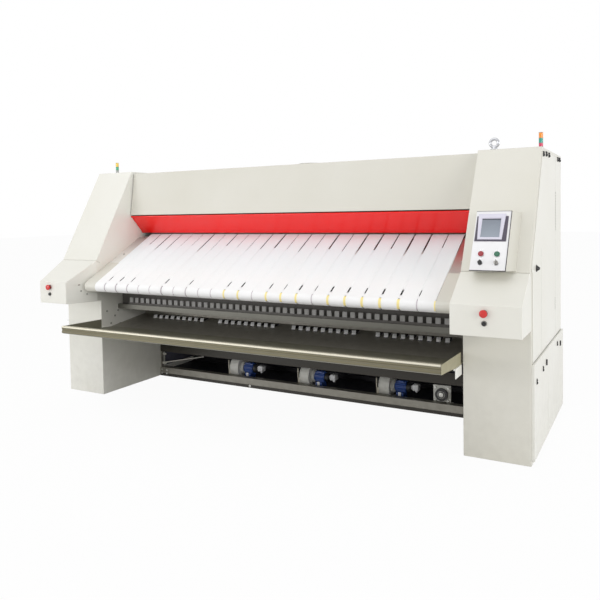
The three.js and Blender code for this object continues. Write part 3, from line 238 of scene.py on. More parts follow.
def painted_over(finish, share, paint, mode="MIX"):
    """Lays a paint over a finish's own colour as far as the share says."""
    tree = finish.node_tree
    base = tree.nodes["Principled BSDF"].inputs["Base Color"]
    tree.links.new(blended(tree, share, base.links[0].from_socket, paint, mode), base)


def dress(finish, *names):
    for name in names:
        nodes[name].data.materials.clear()
        nodes[name].data.materials.append(finish)


def piece(name, bm, finish, body="machine", stands_for=(), crease=32):
    """Turns a bmesh into a finished piece that rides on a body."""
    bmesh.ops.remove_doubles(bm, verts=bm.verts, dist=1e-6)
    bmesh.ops.recalc_face_normals(bm, faces=bm.faces)
    for face in bm.faces:
        face.smooth = True
    for edge in bm.edges:
        edge.smooth = len(edge.link_faces) == 2 and edge.calc_face_angle() < radians(crease)
    made = bpy.data.objects.new(name, bpy.data.meshes.new(name))
    bm.to_mesh(made.data)
    bm.free()
    made.data.materials.append(finish)
    scene.collection.objects.link(made)
    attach(made, body)
    if stands_for:
        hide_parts(*stands_for)
    return made


def rounded(bm, edges, offset, steps=2):
    """Rounds edges off by an offset in metres."""
    bmesh.ops.bevel(bm, geom=list(edges), offset=offset, segments=steps, profile=0.5, affect="EDGES",
                    material=-1)


def slab(bm, low, high, ease=0.0, turn=None):
    """A block between two corners in millimetres, with eased edges."""
    a, b = at(*low), at(*high)
    size = Matrix.Diagonal((b.x - a.x, b.y - a.y, b.z - a.z, 1))
    place = Matrix.Translation((a + b) / 2) @ (turn or Matrix())
    new = bmesh.ops.create_cube(bm, size=1, matrix=place @ size)
    if ease:
        rounded(bm, {edge for vert in new["verts"] for edge in vert.link_edges}, ease / 1000)


def slabs(*rows):
    """A new bmesh of eased blocks, a row for each: two corners and the easing."""
    bm = bmesh.new()
    for row in rows:
        slab(bm, *row)
    return bm


def rod(bm, start, end, radius, sides=20, ease=0.0, tip=None):
    """A round bar between two places in millimetres, with eased ends; tip gives a cone's end."""
    a, b = at(*start), at(*end)
    turn = (b - a).to_track_quat("Z", "Y").to_matrix().to_4x4()
    new = bmesh.ops.create_cone(bm, cap_ends=True, segments=sides, radius1=radius / 1000,
                                radius2=(radius if tip is None else tip) / 1000, depth=(b - a).length,
                                matrix=Matrix.Translation((a + b) / 2) @ turn)
    if ease:
        rounded(bm, {edge for vert in new["verts"] for edge in vert.link_edges
                     if any(len(face.verts) > 4 for face in edge.link_faces)}, ease / 1000)


def hex_bolt(bm, place, out, across=17, head=8):
    """A washer and a hexagon head at a place in millimetres; out is the way that it faces."""
    start, out = Vector(place), Vector(out)
    rod(bm, start, start + out * 2, across * 0.68, 16)
    rod(bm, start + out * 2, start + out * (2 + head), across * 0.55, 6, ease=1)


dress(coated("grey_primer", (150, 149, 143), dirt=0.5, reach=0.16, gloss=0.5, soil=(70, 64, 54)),
      "left_side_frame", "right_side_frame")
# Behind the front beam the shelf and the rear beam are coloured near black, as painted shade of the deep
# blower bay.
galvanised = coated("galvanised_beam", (146, 143, 134), dirt=0.35, reach=0.12, gloss=0.36, soil=(72, 66, 56),
                    Metallic=0.5)
tree = galvanised.node_tree
painted_over(galvanised, ramp(tree, on_object(tree, 1), 0.29, 0.296), srgb(46, 45, 48))
dress(galvanised, "base_frame")

beam_front = 700
zinc = coated("zinc_plate", (196, 196, 190), dirt=0.2, gloss=0.3, Metallic=0.8)
bm = bmesh.new()
for x in (-1478, -1420, 1420, 1478):
    for z in (30, 60):
        hex_bolt(bm, (x, beam_front, z), (0, -1, 0))
piece("base_frame_bolts", bm, zinc)

# A white plug in the front beam, and a dark rubber strip along its foot.
bm = bmesh.new()
rod(bm, (-508, beam_front, 16), (-508, beam_front - 4, 16), 12, 20, 1.5)
piece("beam_plug", bm, coated("plug_white", (240, 240, 236), dirt=0.05, gloss=0.35))
piece("beam_foot_strip", slabs(((-1499, beam_front - 2.4, 1), (1499, beam_front - 0.1, 26), 0.8)),
      coated("strip_rubber", (66, 63, 58), reach=0.05, gloss=0.6))


# ---- Cabinets and side panels ----
# Two folded sheet-steel cabinets carry everything between them, powder coated in ivory. The
# doors and the panel above them hang on the right side, held by black turn latches and clips.
def eased(name, finish, fold=4.0, body="machine", rim=0.0):
    """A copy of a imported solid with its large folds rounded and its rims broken; it replaces it."""
    bm = bmesh.new()
    bm.from_mesh(nodes[name].data)
    bm.transform(nodes[name].matrix_world)
    bmesh.ops.remove_doubles(bm, verts=bm.verts, dist=1e-5)
    bmesh.ops.dissolve_limit(bm, angle_limit=radians(1), verts=bm.verts, edges=bm.edges)
    for offset, steps in ((fold / 1000, 3), (rim / 1000, 1)):
        folds = [edge for edge in bm.edges
                 if offset and edge.is_manifold and edge.is_convex and edge.calc_face_angle() > radians(20)
                 and edge.calc_length() > 4 * offset
                 and min(face.calc_area() for face in edge.link_faces) > 3 * offset * edge.calc_length()]
        if folds:
            rounded(bm, folds, offset, steps)
    made = piece(name + "_sheet", bm, finish, body, (name,), crease=34)
    made.modifiers.new("flat_faces", "WEIGHTED_NORMAL").keep_sharp = True
    return made


# The right cabinet gets a darker copy of the ivory coat, as painted shade.
ivory, shaded_ivory = (
    coated(name, colour, dirt=dirt, reach=0.7, gloss=0.34, soil=(112, 104, 88), Coat_Weight=0.15)
    for name, colour, dirt in (("ivory_coat", (229, 228, 220), 0.12), ("shaded_ivory", (219, 217, 207), 0.1)))
eased("left_cabinet", ivory)
eased("right_cabinet", shaded_ivory)
for name, body in (("right_upper_panel", "machine"), ("right_front_door", "front_door"),
                   ("right_rear_door", "rear_door")):
    eased(name, ivory, 2.5, body)

# The left side is one plate under flat screws, with a seam at the height of the doors. It is
# pressed in by the screws' height, so they stay inside the machine's width.
left_plate = eased("left_side_panel", ivory, 2.5)
plate_rim, screw_height = -1.9158, 0.0024
for vert in left_plate.data.vertices:
    if vert.co.x < plate_rim:
        vert.co.x += screw_height
bm = bmesh.new()
for y, z in ((60, 60), (640, 60), (1220, 60), (60, 560), (1220, 560), (60, 628), (1220, 628), (30, 1040),
             (1220, 1040), (200, 1330), (1220, 1440), (395, 1640), (560, 1806), (880, 1806), (1220, 1806)):
    rod(bm, (-1913.8, y, z), (-1915.9, y, z), 8, 20, 1)
    slab(bm, (-1916.2, y - 5.5, z - 0.8), (-1915.8, y + 5.5, z + 0.8))
slab(bm, (-1914.4, 4, 591.5), (-1913.8, 1249, 594))
piece("left_plate_screws", bm, zinc)

# Black plastic clips along the top of the right side, and smaller ones along the doors.
black_plastic = coated("black_plastic", (30, 30, 32), dirt=0.2, reach=1.5, gloss=0.38, soil=(90, 86, 78))
bm = bmesh.new()
for y, z in ((427, 1822), (542, 1829), (655, 1830), (1079, 1829), (1175, 1832)):
    slab(bm, (1894, y - 11, z - 16), (1902, y + 11, z + 17), 3)
    rod(bm, (1901, y, z - 6), (1906, y, z - 6), 7, 16, 1.5)
    rod(bm, (1901, y, z + 9), (1904, y, z + 9), 4, 12, 1)
piece("top_clips", bm, black_plastic)

door_clips = {"front_door": ((86, 478), (320, 502)), "rear_door": ((950, 540),)}
for body, places in door_clips.items():
    bm = bmesh.new()
    for y, z in places:
        slab(bm, (1908.2, y - 8, z - 17), (1911.5, y + 8, z + 17), 1.5)
        rod(bm, (1911.3, y, z - 7), (1915, y, z - 7), 7.5, 16, 1.2)
        rod(bm, (1911.3, y, z + 8), (1914, y, z + 8), 5, 16, 1.2)
    piece(body + "_clips", bm, black_plastic, body)

# The small latch of the upper panel is a cone on a disc.
bm = bmesh.new()
y, z = 158, 1132
rod(bm, (1895, y, z), (1899, y, z), 21, 32, 1)
rod(bm, (1898.5, y, z), (1915.5, y, z), 18, 28, 2, tip=6)
piece("upper_panel_latch", bm, black_plastic)

# Fine seams of the upper panel, its pull, and one column of vent slits.
seam_foot = 1895.1
bm = slabs(*(((seam_foot, y - 0.8, low), (1895.6, y + 0.8, high))
             for y, low, high in ((968, 610, 1830), (344, 600, 1240))))
piece("upper_panel_seams", bm, coated("fine_seam", (196, 195, 189), dirt=0.1, gloss=0.6))
slits = [1332 + 19.6 * count for count in range(14)]
bm = slabs(*(((seam_foot, 962, foot), (1895.9, 988, foot + 7), 0.2) for foot in slits),
           ((seam_foot, 944, 781), (1895.7, 950, 865), 0.2))
piece("upper_panel_vents", bm, coated("seam_shadow", (92, 90, 84), dirt=0.2, gloss=0.6))
dress(black_plastic, "right_front_latch", "right_rear_latch")

# Left wall inside: cap screws over the tray and three covered slots beside the console.
bm = bmesh.new()
inner_wall = 1500
for y, z in ((187, 680), (103, 582), (206, 566), (60, 690), (150, 640)):
    rod(bm, (-inner_wall, y, z), (5 - inner_wall, y, z), 8, 16, 1)
    rod(bm, (5 - inner_wall, y, z), (5.4 - inner_wall, y, z), 4, 6)
for y, z, half in ((-225, 939, 11), (-207, 889, 9), (-147, 857, 7)):
    slab(bm, (-inner_wall, y - half, z - 6), (1.6 - inner_wall, y + half, z + 6), 0.8)
zinc_caps = coated("zinc_caps", (176, 174, 168), dirt=0.2, gloss=0.35, Metallic=0.7)
piece("inner_wall_screws", bm, zinc_caps)

# A slate grey-blue lining behind the blowers, on the rear cover and on both inner walls, put in as painted
# shade of the deep bay.
lining = coated("bay_lining_painted_shade", (92, 92, 106), reach=0.6, gloss=0.75, soil=(60, 56, 50), peel=5)
bm = slabs(((-1496, 1268, 88), (1496, 1276, 660), 3),
           *(((sign * 1499.6, 765, 86), (sign * 1493, 1262, 560), 2) for sign in (-1, 1)))
piece("blower_bay_lining", bm, lining)


# ---- Hood and covers ----
# The folded hood closes the front over the roll; the top cover carries the exhaust spigot and
# the rear cover has a slot for the ironed linen. All are coated in a warmer beige.
beige = coated("beige_coat", (214, 212, 202), dirt=0.14, reach=0.7, gloss=0.36, soil=(118, 108, 92),
               Coat_Weight=0.12)
eased("hood_panel", beige, 3.5)
eased("top_cover", beige, 2.5)
eased("rear_cover", beige, 2.5)

# Hidden side: the covers are three sheets each, with fine seams under rows of screws, and a
# black rubber edging lines the rear slot.
cover_back, cover_top, roll_y = 1280, 1849, 910
seam_rows = []
for x in (-500, 500):
    for low, high in ((22, 1250), (1328, 1845)):
        seam_rows.append(((x - 1, cover_back + 0.1, low), (x + 1, cover_back + 0.7, high)))
    seam_rows.append(((x - 1, 470, cover_top), (x + 1, 1279, cover_top + 0.6)))
cover_seam = coated("cover_seam", (150, 147, 138), dirt=0.2, gloss=0.6)
piece("cover_seams", slabs(*seam_rows), cover_seam)
bm = bmesh.new()
for x in (-1482, -518, -482, 482, 518, 1482):
    for z in (70, 340, 610, 880, 1150, 1420, 1620, 1800):
        rod(bm, (x, cover_back, z), (x, cover_back + 3.5, z), 7, 18, 1.2)
    for y in (500, 700, 1090, 1240):
        rod(bm, (x, y, cover_top), (x, y, cover_top + 3.5), 7, 18, 1.2)
for turn in range(8):
    y, x = roll_y + 118 * cos(turn * pi / 4 + 0.3), 118 * sin(turn * pi / 4 + 0.3)
    hex_bolt(bm, (x, y, cover_top + 4), (0, 0, 1), 10, 5)
piece("cover_screws", bm, zinc)
bm = slabs(*(((-1400, 1279, z), (1400, 1284, z + 2.5), 0.8) for z in (1250, 1325.5)),
           *(((x, 1279, 1250), (x + 2.5, 1284, 1328), 0.8) for x in (-1400, 1397.5)))
piece("slot_edging", bm, black_plastic)


# The exhaust spigot has a rolled rim and a bolted foot ring.
def turned(bm, place, section, sides, closed=False, axis=(0, 1, 0)):
    """Turns a section, as steps outwards and along the axis in millimetres, round a place."""
    centre, along = at(*place), Vector(axis)
    out = along.cross((0, 0, 1)).normalized() if abs(along.z) < 0.5 else Vector((1, 0, 0))
    points = [bm.verts.new(centre + (out * reach + along * step) / 1000) for reach, step in section]
    ends = points[1:] + points[:1] if closed else points[1:]
    lines = [bm.edges.new(pair) for pair in zip(points, ends)]
    bmesh.ops.spin(bm, geom=points + lines, cent=centre, axis=along, angle=2 * pi, steps=sides,
                   use_merge=True)


foot_ring = [(100.2, 0), (132, 0), (132, 4), (100.2, 4)]
rolled_rim = [(97.5, -2), (100, -3), (102, -2), (102.4, 0.5), (101, 2.6), (98, 2.6), (97.2, 0.5)]
bm = bmesh.new()
turned(bm, (0, roll_y, 1849.2), foot_ring, 64, True, (0, 0, 1))
turned(bm, (0, roll_y, 1886), rolled_rim, 64, True, (0, 0, 1))
piece("spigot_rings", bm, zinc)


# ---- Feed bed and belts ----
# Twenty-four endless white belts of woven cotton and polyester run over a stainless bed plate,
# round a front nose roller and a driven rear roller; each belt lies a few millimetres apart.
def moved(bm, made, step):
    """Moves the vertices among what an operator made, by a step in metres."""
    bmesh.ops.translate(bm, verts=[part for part in made if isinstance(part, bmesh.types.BMVert)], vec=step)


def drawn_out(bm, faces, step):
    """Extrudes faces by a step in metres."""
    moved(bm, bmesh.ops.extrude_face_region(bm, geom=list(faces))["geom"], step)


def square_edges(bm):
    """The outer corners of a closed shape that turn by about a right angle."""
    bmesh.ops.recalc_face_normals(bm, faces=bm.faces)
    return [edge for edge in bm.edges if edge.is_convex and edge.calc_face_angle() > radians(60)]


def grey(tree, value):
    """One value as a grey colour, or as an even vector."""
    return wire(tree, "CombineXYZ", {0: value, 1: value, 2: value}).outputs[0]


woven, given = shared_effect("woven_cloth", [
    ("Colour", "Color", (1, 1, 1, 1)), ("Soil", "Color", (0.6, 0.5, 0.35, 1)), ("Worn", "Float", 0.3),
    ("Thread", "Float", 0.0012), ("Gloss", "Float", 0.75)])
place = on_object(woven)
fine = wire(woven, "VectorMath", {0: place, 1: grey(woven, given["Thread"])}, operation="DIVIDE").outputs[0]
weave = times(woven, *(wire(woven, "TexWave", {"Vector": fine, "Scale": 0.31, "Distortion": 0.6},
                            bands_direction=way).outputs["Fac"] for way in "XZ"))
smear = ramp(woven, noise(woven, place, 3.2, 5, (1, 0.25, 0.25)), 0.45, 0.8)
toned = blended(woven, 1.0, given["Colour"], grey(woven, ramp(woven, weave, 0, 1, 0.93, 1.0)), "MULTIPLY")
gives(woven, Colour=blended(woven, times(woven, smear, given["Worn"]), toned, given["Soil"]),
      Roughness=plus(woven, given["Gloss"], times(woven, weave, 0.12)), Height=weave)

belt_cloth = finish_of(woven, "belt_cloth", bump=0.0003, sockets={
    "Colour": srgb(252, 252, 252), "Soil": srgb(236, 232, 228), "Worn": 0.3, "Thread": 0.0012, "Gloss": 0.72},
    Sheen_Weight=0.2)
# Along their upper part the belts are tinted a cooler white, as painted light that cancels the red light the
# guard throws on them.
tree = belt_cloth.node_tree
painted_over(belt_cloth, ramp(tree, on_object(tree, 2), 1.02, 1.32), srgb(232, 250, 255), "MULTIPLY")


def belt_outline(bm, nose, drive, depth):
    """The loop round both rollers, at a depth under the belts' outer face."""
    front, rear = (nose[2] - depth) / 1000, (drive[2] - depth) / 1000
    a, b = at(0, nose[0], nose[1]), at(0, drive[0], drive[1])
    lean = atan2(b.z - a.z, b.y - a.y)
    open_angle = acos((front - rear) / (b - a).length)
    loop = []
    for centre, radius, start, sweep in ((a, front, lean + open_angle, 2 * pi - 2 * open_angle),
                                         (b, rear, lean - open_angle, 2 * open_angle)):
        first = bm.verts.new(centre + Vector((0, radius * cos(start), radius * sin(start))))
        bmesh.ops.spin(bm, geom=[first], cent=centre, axis=(1, 0, 0), angle=sweep, steps=14)
        bm.verts.ensure_lookup_table()
        loop.append((first, bm.verts[-1]))
    bm.edges.new((loop[0][1], loop[1][0]))
    bm.edges.new((loop[1][1], loop[0][0]))


# Both rollers' axes in Y and Z, with the radius of the belts' outer face round each.
nose, drive = (-130, 920, 40), (519.6, 1284.7, 34)
belt_width, belt_depth, first_belt, belts = 107.5, 3.4, -1393, 24
wide, middling, narrow = {2, 6, 12, 16, 18, 19, 21, 22}, {1, 3, 8, 11, 14, 20}, {15, 17, 23}
gaps = {count: 12 if count in wide else 9 if count in middling else 6 if count in narrow else 4.6
        for count in range(1, belts)}
bm = bmesh.new()
for depth in (0, belt_depth):
    belt_outline(bm, nose, drive, depth)
moved(bm, bm.verts, (first_belt / 1000, 0, 0))
drawn_out(bm, bmesh.ops.bridge_loops(bm, edges=bm.edges)["faces"], (belt_width / 1000, 0, 0))
rounded(bm, square_edges(bm), 0.0012, 1)
one = bm.verts[:] + bm.edges[:] + bm.faces[:]
shift, gap_middles = 0, {}
for count in range(1, belts):
    gap_middles[count] = first_belt + shift + belt_width + gaps[count] / 2
    shift += belt_width + gaps[count]
    moved(bm, bmesh.ops.duplicate(bm, geom=one)["geom"], (shift / 1000, 0, 0))
piece("feed_belt_set", bm, belt_cloth, stands_for=("feed_belts",))

# Strips of the white belt cloth lie on the bed plate in the gaps, as painted light that keeps the gaps from
# reading as shaded lines. They leave each gap open under the guard, and most of them also in a short window
# behind the nose. Their ends are in metres up the bed.
bed_lean = atan2(drive[1] - nose[1], drive[0] - nose[0]) - (nose[2] - drive[2]) / 745
fill_start, window_start, window_end, fill_lift, fill_half = 0.004, 0.034, 0.098, 36.9, 2.1
bm = bmesh.new()
for count, middle in gap_middles.items():
    top = 0.54 + 0.04 * sin(count * 1.7) - (0.03 if count in wide else 0)
    runs = ((fill_start, window_start), (window_end, top))
    if count not in wide | middling | narrow:
        runs = ((fill_start, top),)
    for low, high in runs:
        centre, half, across = (low + high) * 500, (high - low) * 500, gaps[count] / 2 - 0.2
        y = nose[0] + centre * cos(bed_lean) - fill_lift * sin(bed_lean)
        z = nose[1] + centre * sin(bed_lean) + fill_lift * cos(bed_lean)
        slab(bm, (middle - across, y - half, z - fill_half), (middle + across, y + half, z + fill_half), 0.3,
             Matrix.Rotation(bed_lean, 4, "X"))
piece("gap_light_fill", bm, belt_cloth)

# Brushed stainless steel of the bed plate, its bare margin and the delivery slide.
brushed, given = shared_effect("brushed_metal", [
    ("Colour", "Color", (0.6, 0.6, 0.6, 1)), ("Grain", "Vector", (4, 90, 90)), ("Gloss", "Float", 0.25),
    ("Stain", "Float", 0.2)])
place = on_object(brushed)
lines = wire(brushed, "VectorMath", {0: place, 1: given["Grain"]}, operation="MULTIPLY").outputs[0]
hair = noise(brushed, lines, 8, 4)
shade = ramp(brushed, plus(brushed, times(brushed, hair, 0.5), times(brushed, noise(brushed, place, 4, 5),
             given["Stain"])), 0.2, 0.7, 0.84, 1.04)
gives(brushed, Colour=blended(brushed, 1.0, given["Colour"], grey(brushed, shade), "MULTIPLY"),
      Roughness=plus(brushed, given["Gloss"], times(brushed, hair, 0.16)), Height=hair)


def brushed_steel(name, colour, gloss, grain=(4, 90, 90), stain=0.25):
    return finish_of(brushed, name, 0.9, 0.0001, {"Colour": srgb(*colour), "Gloss": gloss, "Grain": grain,
                     "Stain": stain})


dress(brushed_steel("brushed_stainless", (196, 194, 190), 0.24), "delivery_slide")

# The bed plate is laminated white along its middle and coloured near black beyond it, front and rear, as
# painted shade in the gaps, so the gaps between the belts read dark only near the guard and just behind the
# nose. Its left margin is painted and darkens to a pinkish grey towards the guard as painted shade of the
# guard, and its right margin stays bare steel.
bed_plate = brushed_steel("bed_plate", (196, 194, 190), 0.24)
tree = bed_plate.node_tree
bed_slope = (0.8717, 0.49)
up_bed = wire(tree, "VectorMath", {0: on_object(tree), 1: (0, *bed_slope)},
              operation="DOT_PRODUCT").outputs["Value"]
across_bed = on_object(tree, 0)
left_margin, right_margin = (-1.39, -1.388), (1.384, 1.386)
white_part = times(tree, ramp(tree, up_bed, 0.02, 0.03), ramp(tree, up_bed, 0.4, 0.5, 1, 0))
laminate_and_painted_shade = blended(tree, white_part, srgb(28, 26, 28), srgb(246, 245, 243))
margin_paint_and_guard_shade = blended(tree, ramp(tree, up_bed, 0.35, 0.75), srgb(226, 225, 219), srgb(120, 112, 110))
laid = blended(tree, ramp(tree, across_bed, *left_margin, 1, 0), laminate_and_painted_shade, margin_paint_and_guard_shade)
painted_over(bed_plate, ramp(tree, across_bed, *right_margin, 1, 0), laid)
bare = ramp(tree, across_bed, *right_margin, 0, 0.9)
tree.links.new(bare, tree.nodes["Principled BSDF"].inputs["Metallic"])
dress(bed_plate, "feed_bed")
turned_steel = brushed_steel("turned_steel", (178, 178, 176), 0.3, (90, 8, 8))
dress(turned_steel, "nose_roller", "feed_drive_roller")
for side in ("left", "right"):
    eased(side + "_nose_bracket", beige, 3, rim=0.6)

# Cap screws that hold the bed plate's margins.
bm = bmesh.new()
for x in (-1442, 1442):
    for up in (120, 420, 690):
        foot, face, socket = ((x, nose[0] + bed_slope[0] * up - bed_slope[1] * lift,
                               nose[1] + bed_slope[1] * up + bed_slope[0] * lift) for lift in (35, 40, 40.3))
        rod(bm, foot, face, 6.5, 16, 0.8)
        rod(bm, face, socket, 3, 6)
piece("bed_screws", bm, zinc)


def moulded(name, colour, gloss, **settings):
    """Plain moulded plastic with faint mottling and a little dust."""
    return coated(name, colour, dirt=0.1, reach=2.0, gloss=gloss, soil=(120, 114, 102), peel=0.35, **settings)


# Amber guide rings sit in the gaps on the nose roller, brighter towards the right, and pale
# ones in the rest. Each runs round the nose from behind its top to under it.
gap_middles[24] = 1386
guide_radius, guide_start, guide_sweep = 0.0378, radians(128), radians(95)
amber_gaps = (11, 12, 14, 15, 16, 18, 19, 20, 21, 22, 24)
for name, finish, slot, places in (
        ("amber_guides", moulded("amber_ring", (250, 232, 158), 0.4), "lamp", amber_gaps),
        ("pale_guides", moulded("pale_ring", (206, 198, 204), 0.5), "belt",
         set(gap_middles) - set(amber_gaps))):
    bm = bmesh.new()
    for count in places:
        centre = at(gap_middles[count], *nose[:2])
        half = 0.0028 if name == "pale_guides" else 0.0045 + 0.00018 * count
        start = centre + guide_radius * Vector((0, cos(guide_start), sin(guide_start)))
        section = bmesh.ops.create_grid(
            bm, x_segments=1, y_segments=1, size=1, matrix=Matrix.Translation(start)
            @ Matrix.Rotation(guide_start, 4, "X") @ Matrix.Diagonal((half, 0.003, 1, 1)))["verts"]
        faces = list({face for vert in section for face in vert.link_faces})
        bmesh.ops.spin(bm, geom=faces, cent=centre, axis=(1, 0, 0), angle=guide_sweep, steps=10)
    piece(name, bm, finish)


# ---- Finger guard ----
# A folded steel flap in high-gloss signal red hangs on pins under the hood and stops the press
# when hands push it in. The belts mirror in its face, and a soft lip runs along its edge.
guard_red = coated("guard_red", (250, 18, 12), dirt=0.04, reach=2.5, gloss=0.3, soil=(120, 20, 14), peel=0.5,
                   Coat_Weight=0.35, Coat_Roughness=0.06)
eased("finger_guard", guard_red, 2.5, "guard", rim=0.6)
bm = slabs(((-1508, 502, 1327), (1508, 506, 1343), 1, Matrix.Rotation(0.745, 4, "X")))
piece("guard_lip", bm, guard_red, "guard")


# ---- Ironing roll and heated chest ----
# A steel roll in a sleeve of needled felt, wound on in a long spiral, turns in a polished
# half-round chest; square housings carry it on both side frames.
needled_felt = finish_of(woven, "needled_felt", bump=0.0012, sockets={
    "Colour": srgb(226, 216, 192), "Soil": srgb(176, 150, 108), "Worn": 0.55, "Thread": 0.003, "Gloss": 0.86},
    Sheen_Weight=0.35)
dress(turned_steel, "ironing_roll")
roll_z, felt_half, facing_x = 1265, 1384, Matrix.Rotation(pi / 2, 4, "Y")
bm = bmesh.new()
rims = []  # of the outer and then the inner tube, left and right
for radius in (0.3, 0.2885):
    for end in (-felt_half, felt_half):
        rim = bmesh.ops.create_circle(bm, segments=72, radius=radius, matrix=Matrix.Translation(
            at(end, roll_y, roll_z)) @ facing_x)["verts"]
        rims.append(list({edge for vert in rim for edge in vert.link_edges}))
for first, second in ((0, 1), (2, 3), (0, 2), (1, 3)):
    bmesh.ops.bridge_loops(bm, edges=rims[first] + rims[second])
rounded(bm, square_edges(bm), 0.006, 3)
felt = piece("felt_sleeve", bm, needled_felt, "roll", ("roll_padding",), crease=50)

# The chest's curved plate and beam, and the roll's bolted bearings.
dress(coated("chest_steel", (122, 120, 116), dirt=0.4, reach=1.4, soil=(70, 56, 40), Metallic=0.7),
      "heated_chest")
cast_paint = coated("cast_paint", (168, 170, 168), dirt=0.4, reach=0.8, gloss=0.5, soil=(84, 76, 62),
                    peel=2.5)
for side in ("left", "right"):
    eased(side + "_roll_bearing", cast_paint, 6)
bm = bmesh.new()
for sign in (-1, 1):
    for y, z in ((845, 1200), (975, 1200), (845, 1330), (975, 1330)):
        hex_bolt(bm, (sign * 1589.6, y, z), (sign, 0, 0), 20, 11)
piece("bearing_bolts", bm, zinc)


# ---- Roll drive ----
# A blue gearmotor on the left side frame turns the roll through a roller chain and two toothed
# steel sprockets, hidden in the left cabinet.
motor_blue = coated("motor_blue", (34, 74, 150), reach=0.4, gloss=0.36, soil=(60, 58, 54), peel=1.6,
                    Coat_Weight=0.2)


def sprocket(name, body, y, z, radius, teeth, bore, stands_for):
    """A toothed wheel with a bore, made in metres about X; y and z are in millimetres."""
    bm = bmesh.new()
    centre = at(-1623.3, y, z)
    tooth, thickness = 0.009, 0.014
    rim = bmesh.ops.create_circle(bm, segments=teeth * 4, radius=radius - tooth,
                                  matrix=Matrix.Translation(centre) @ facing_x)["verts"]
    for i, vert in enumerate(rim):
        vert.co += (vert.co - centre).normalized() * (0, tooth, tooth, 0)[i % 4]
    hub = bmesh.ops.extrude_edge_only(bm, edges=bm.edges[:])["geom"]
    for vert in (v for v in hub if isinstance(v, bmesh.types.BMVert)):
        vert.co = centre + (vert.co - centre).normalized() * bore
    drawn_out(bm, bm.faces, (thickness, 0, 0))
    piece(name, bm, turned_steel, body, stands_for, crease=28)


sprocket("roll_chain_wheel", "roll", roll_y, roll_z, 0.150, 48, 0.0405, ("roll_sprocket",))
sprocket("motor_chain_wheel", "drive_sprocket", 760, 300, 0.055, 18, 0.0183, ("motor_sprocket",))
dress(motor_blue, "gearmotor")
dress(coated("oiled_chain", (92, 88, 82), dirt=0.5, reach=1.6, gloss=0.3, soil=(40, 32, 24), Metallic=0.85),
      "drive_chain")


# ---- Linen tray, return chute and guide rail ----
# The finished linen falls on a slotted sheet-steel chute and slides into the deep tray in
# front. Both are coated in a brown-grey; the tray's lip carries a bright anodised trim.
tray_coat = coated("tray_coat", (122, 119, 103), dirt=0.25, reach=1.4, gloss=0.34, soil=(56, 50, 40))
tray = eased("linen_tray", tray_coat, 1.5)
lip_face, trim_room, tray_cheek = -0.882, 0.002, 1.4915
for vert in tray.data.vertices:
    if vert.co.y < lip_face:
        vert.co.y += trim_room
tray.data.materials.append(coated("cheek_coat", (176, 171, 142), dirt=0.25, reach=1.4, gloss=0.3,
                                  soil=(96, 88, 66), Metallic=0.3))
for face in tray.data.polygons:
    if abs(face.center.x) > tray_cheek:
        face.material_index = 1


# The trim clips over the lip in two runs of one anodised trim, coloured apart as painted light: a rounded top
# in a light copy as painted highlight, and a duller face in a darker copy as painted shade, with a hollow
# along it and a turned-in foot.
def lip_trim(name, finish, outline):
    """A thin profile in millimetres, drawn in Y and Z and carried along the whole lip."""
    trim_end, wall = 1489, 0.8
    bm = bmesh.new()
    points = [bm.verts.new(at(-trim_end, y, z)) for y, z in outline]
    lines = [bm.edges.new(pair) for pair in zip(points, points[1:])]
    moved(bm, bmesh.ops.extrude_edge_only(bm, edges=lines)["geom"], (2 * trim_end / 1000, 0, 0))
    bmesh.ops.solidify(bm, geom=bm.faces[:], thickness=wall / 1000)
    piece(name, bm, finish, crease=24)


lip_trim("lip_trim_top", brushed_steel("trim_painted_highlight", (230, 225, 206), 0.3, (3, 60, 60), 0.3),
         [(-396, 641.2), (-408, 641.2), (-412.4, 640.3), (-414.1, 636.6), (-414.1, 630)])
lip_trim("lip_trim_face", brushed_steel("trim_painted_shade", (120, 115, 95), 0.34, (1.2, 60, 60), 0.9),
         [(-411.5, 630), (-411.5, 626), (-414.1, 623.5), (-414.1, 617), (-410.6, 614), (-410.6, 606),
          (-414.1, 603), (-414.1, 592), (-411.5, 589)])
dress(coated("chute_coat", (160, 156, 146), reach=1.4, gloss=0.32, soil=(84, 78, 68), Metallic=0.3),
      "return_chute")

# A sprung glide stands up from each slot, coloured pure white as painted light where light shows through the
# slots, and a dark finger lies behind it as painted shade of the slots.
rise = atan2(54, 409.7)
group_pitch, slot_pitch = 690, 63
glides, fingers = bmesh.new(), bmesh.new()
for group in range(4):
    for count in range(9):
        x = (group - 1.5) * group_pitch + (count - 4) * slot_pitch
        for bm, y0, y1, half, lift, tilt in (
                (glides, 402, 432, 15, 15, 0.85), (fingers, 434, 498, 12, 5, 0.08)):
            z = 556 + ((y0 + y1) / 2 - 110.3) * sin(rise) / cos(rise)
            slab(bm, (x - half, y0, z + lift - 6), (x + half, y1, z + lift), 1.5,
                 Matrix.Rotation(0.3 * tilt, 4, "Z") @ Matrix.Rotation(rise + tilt, 4, "X"))
piece("chute_glides", glides, moulded("glide_painted_light", (255, 255, 255), 0.2, Coat_Weight=0.6))
piece("chute_fingers", fingers, moulded("finger_painted_shade", (44, 42, 40), 0.6))

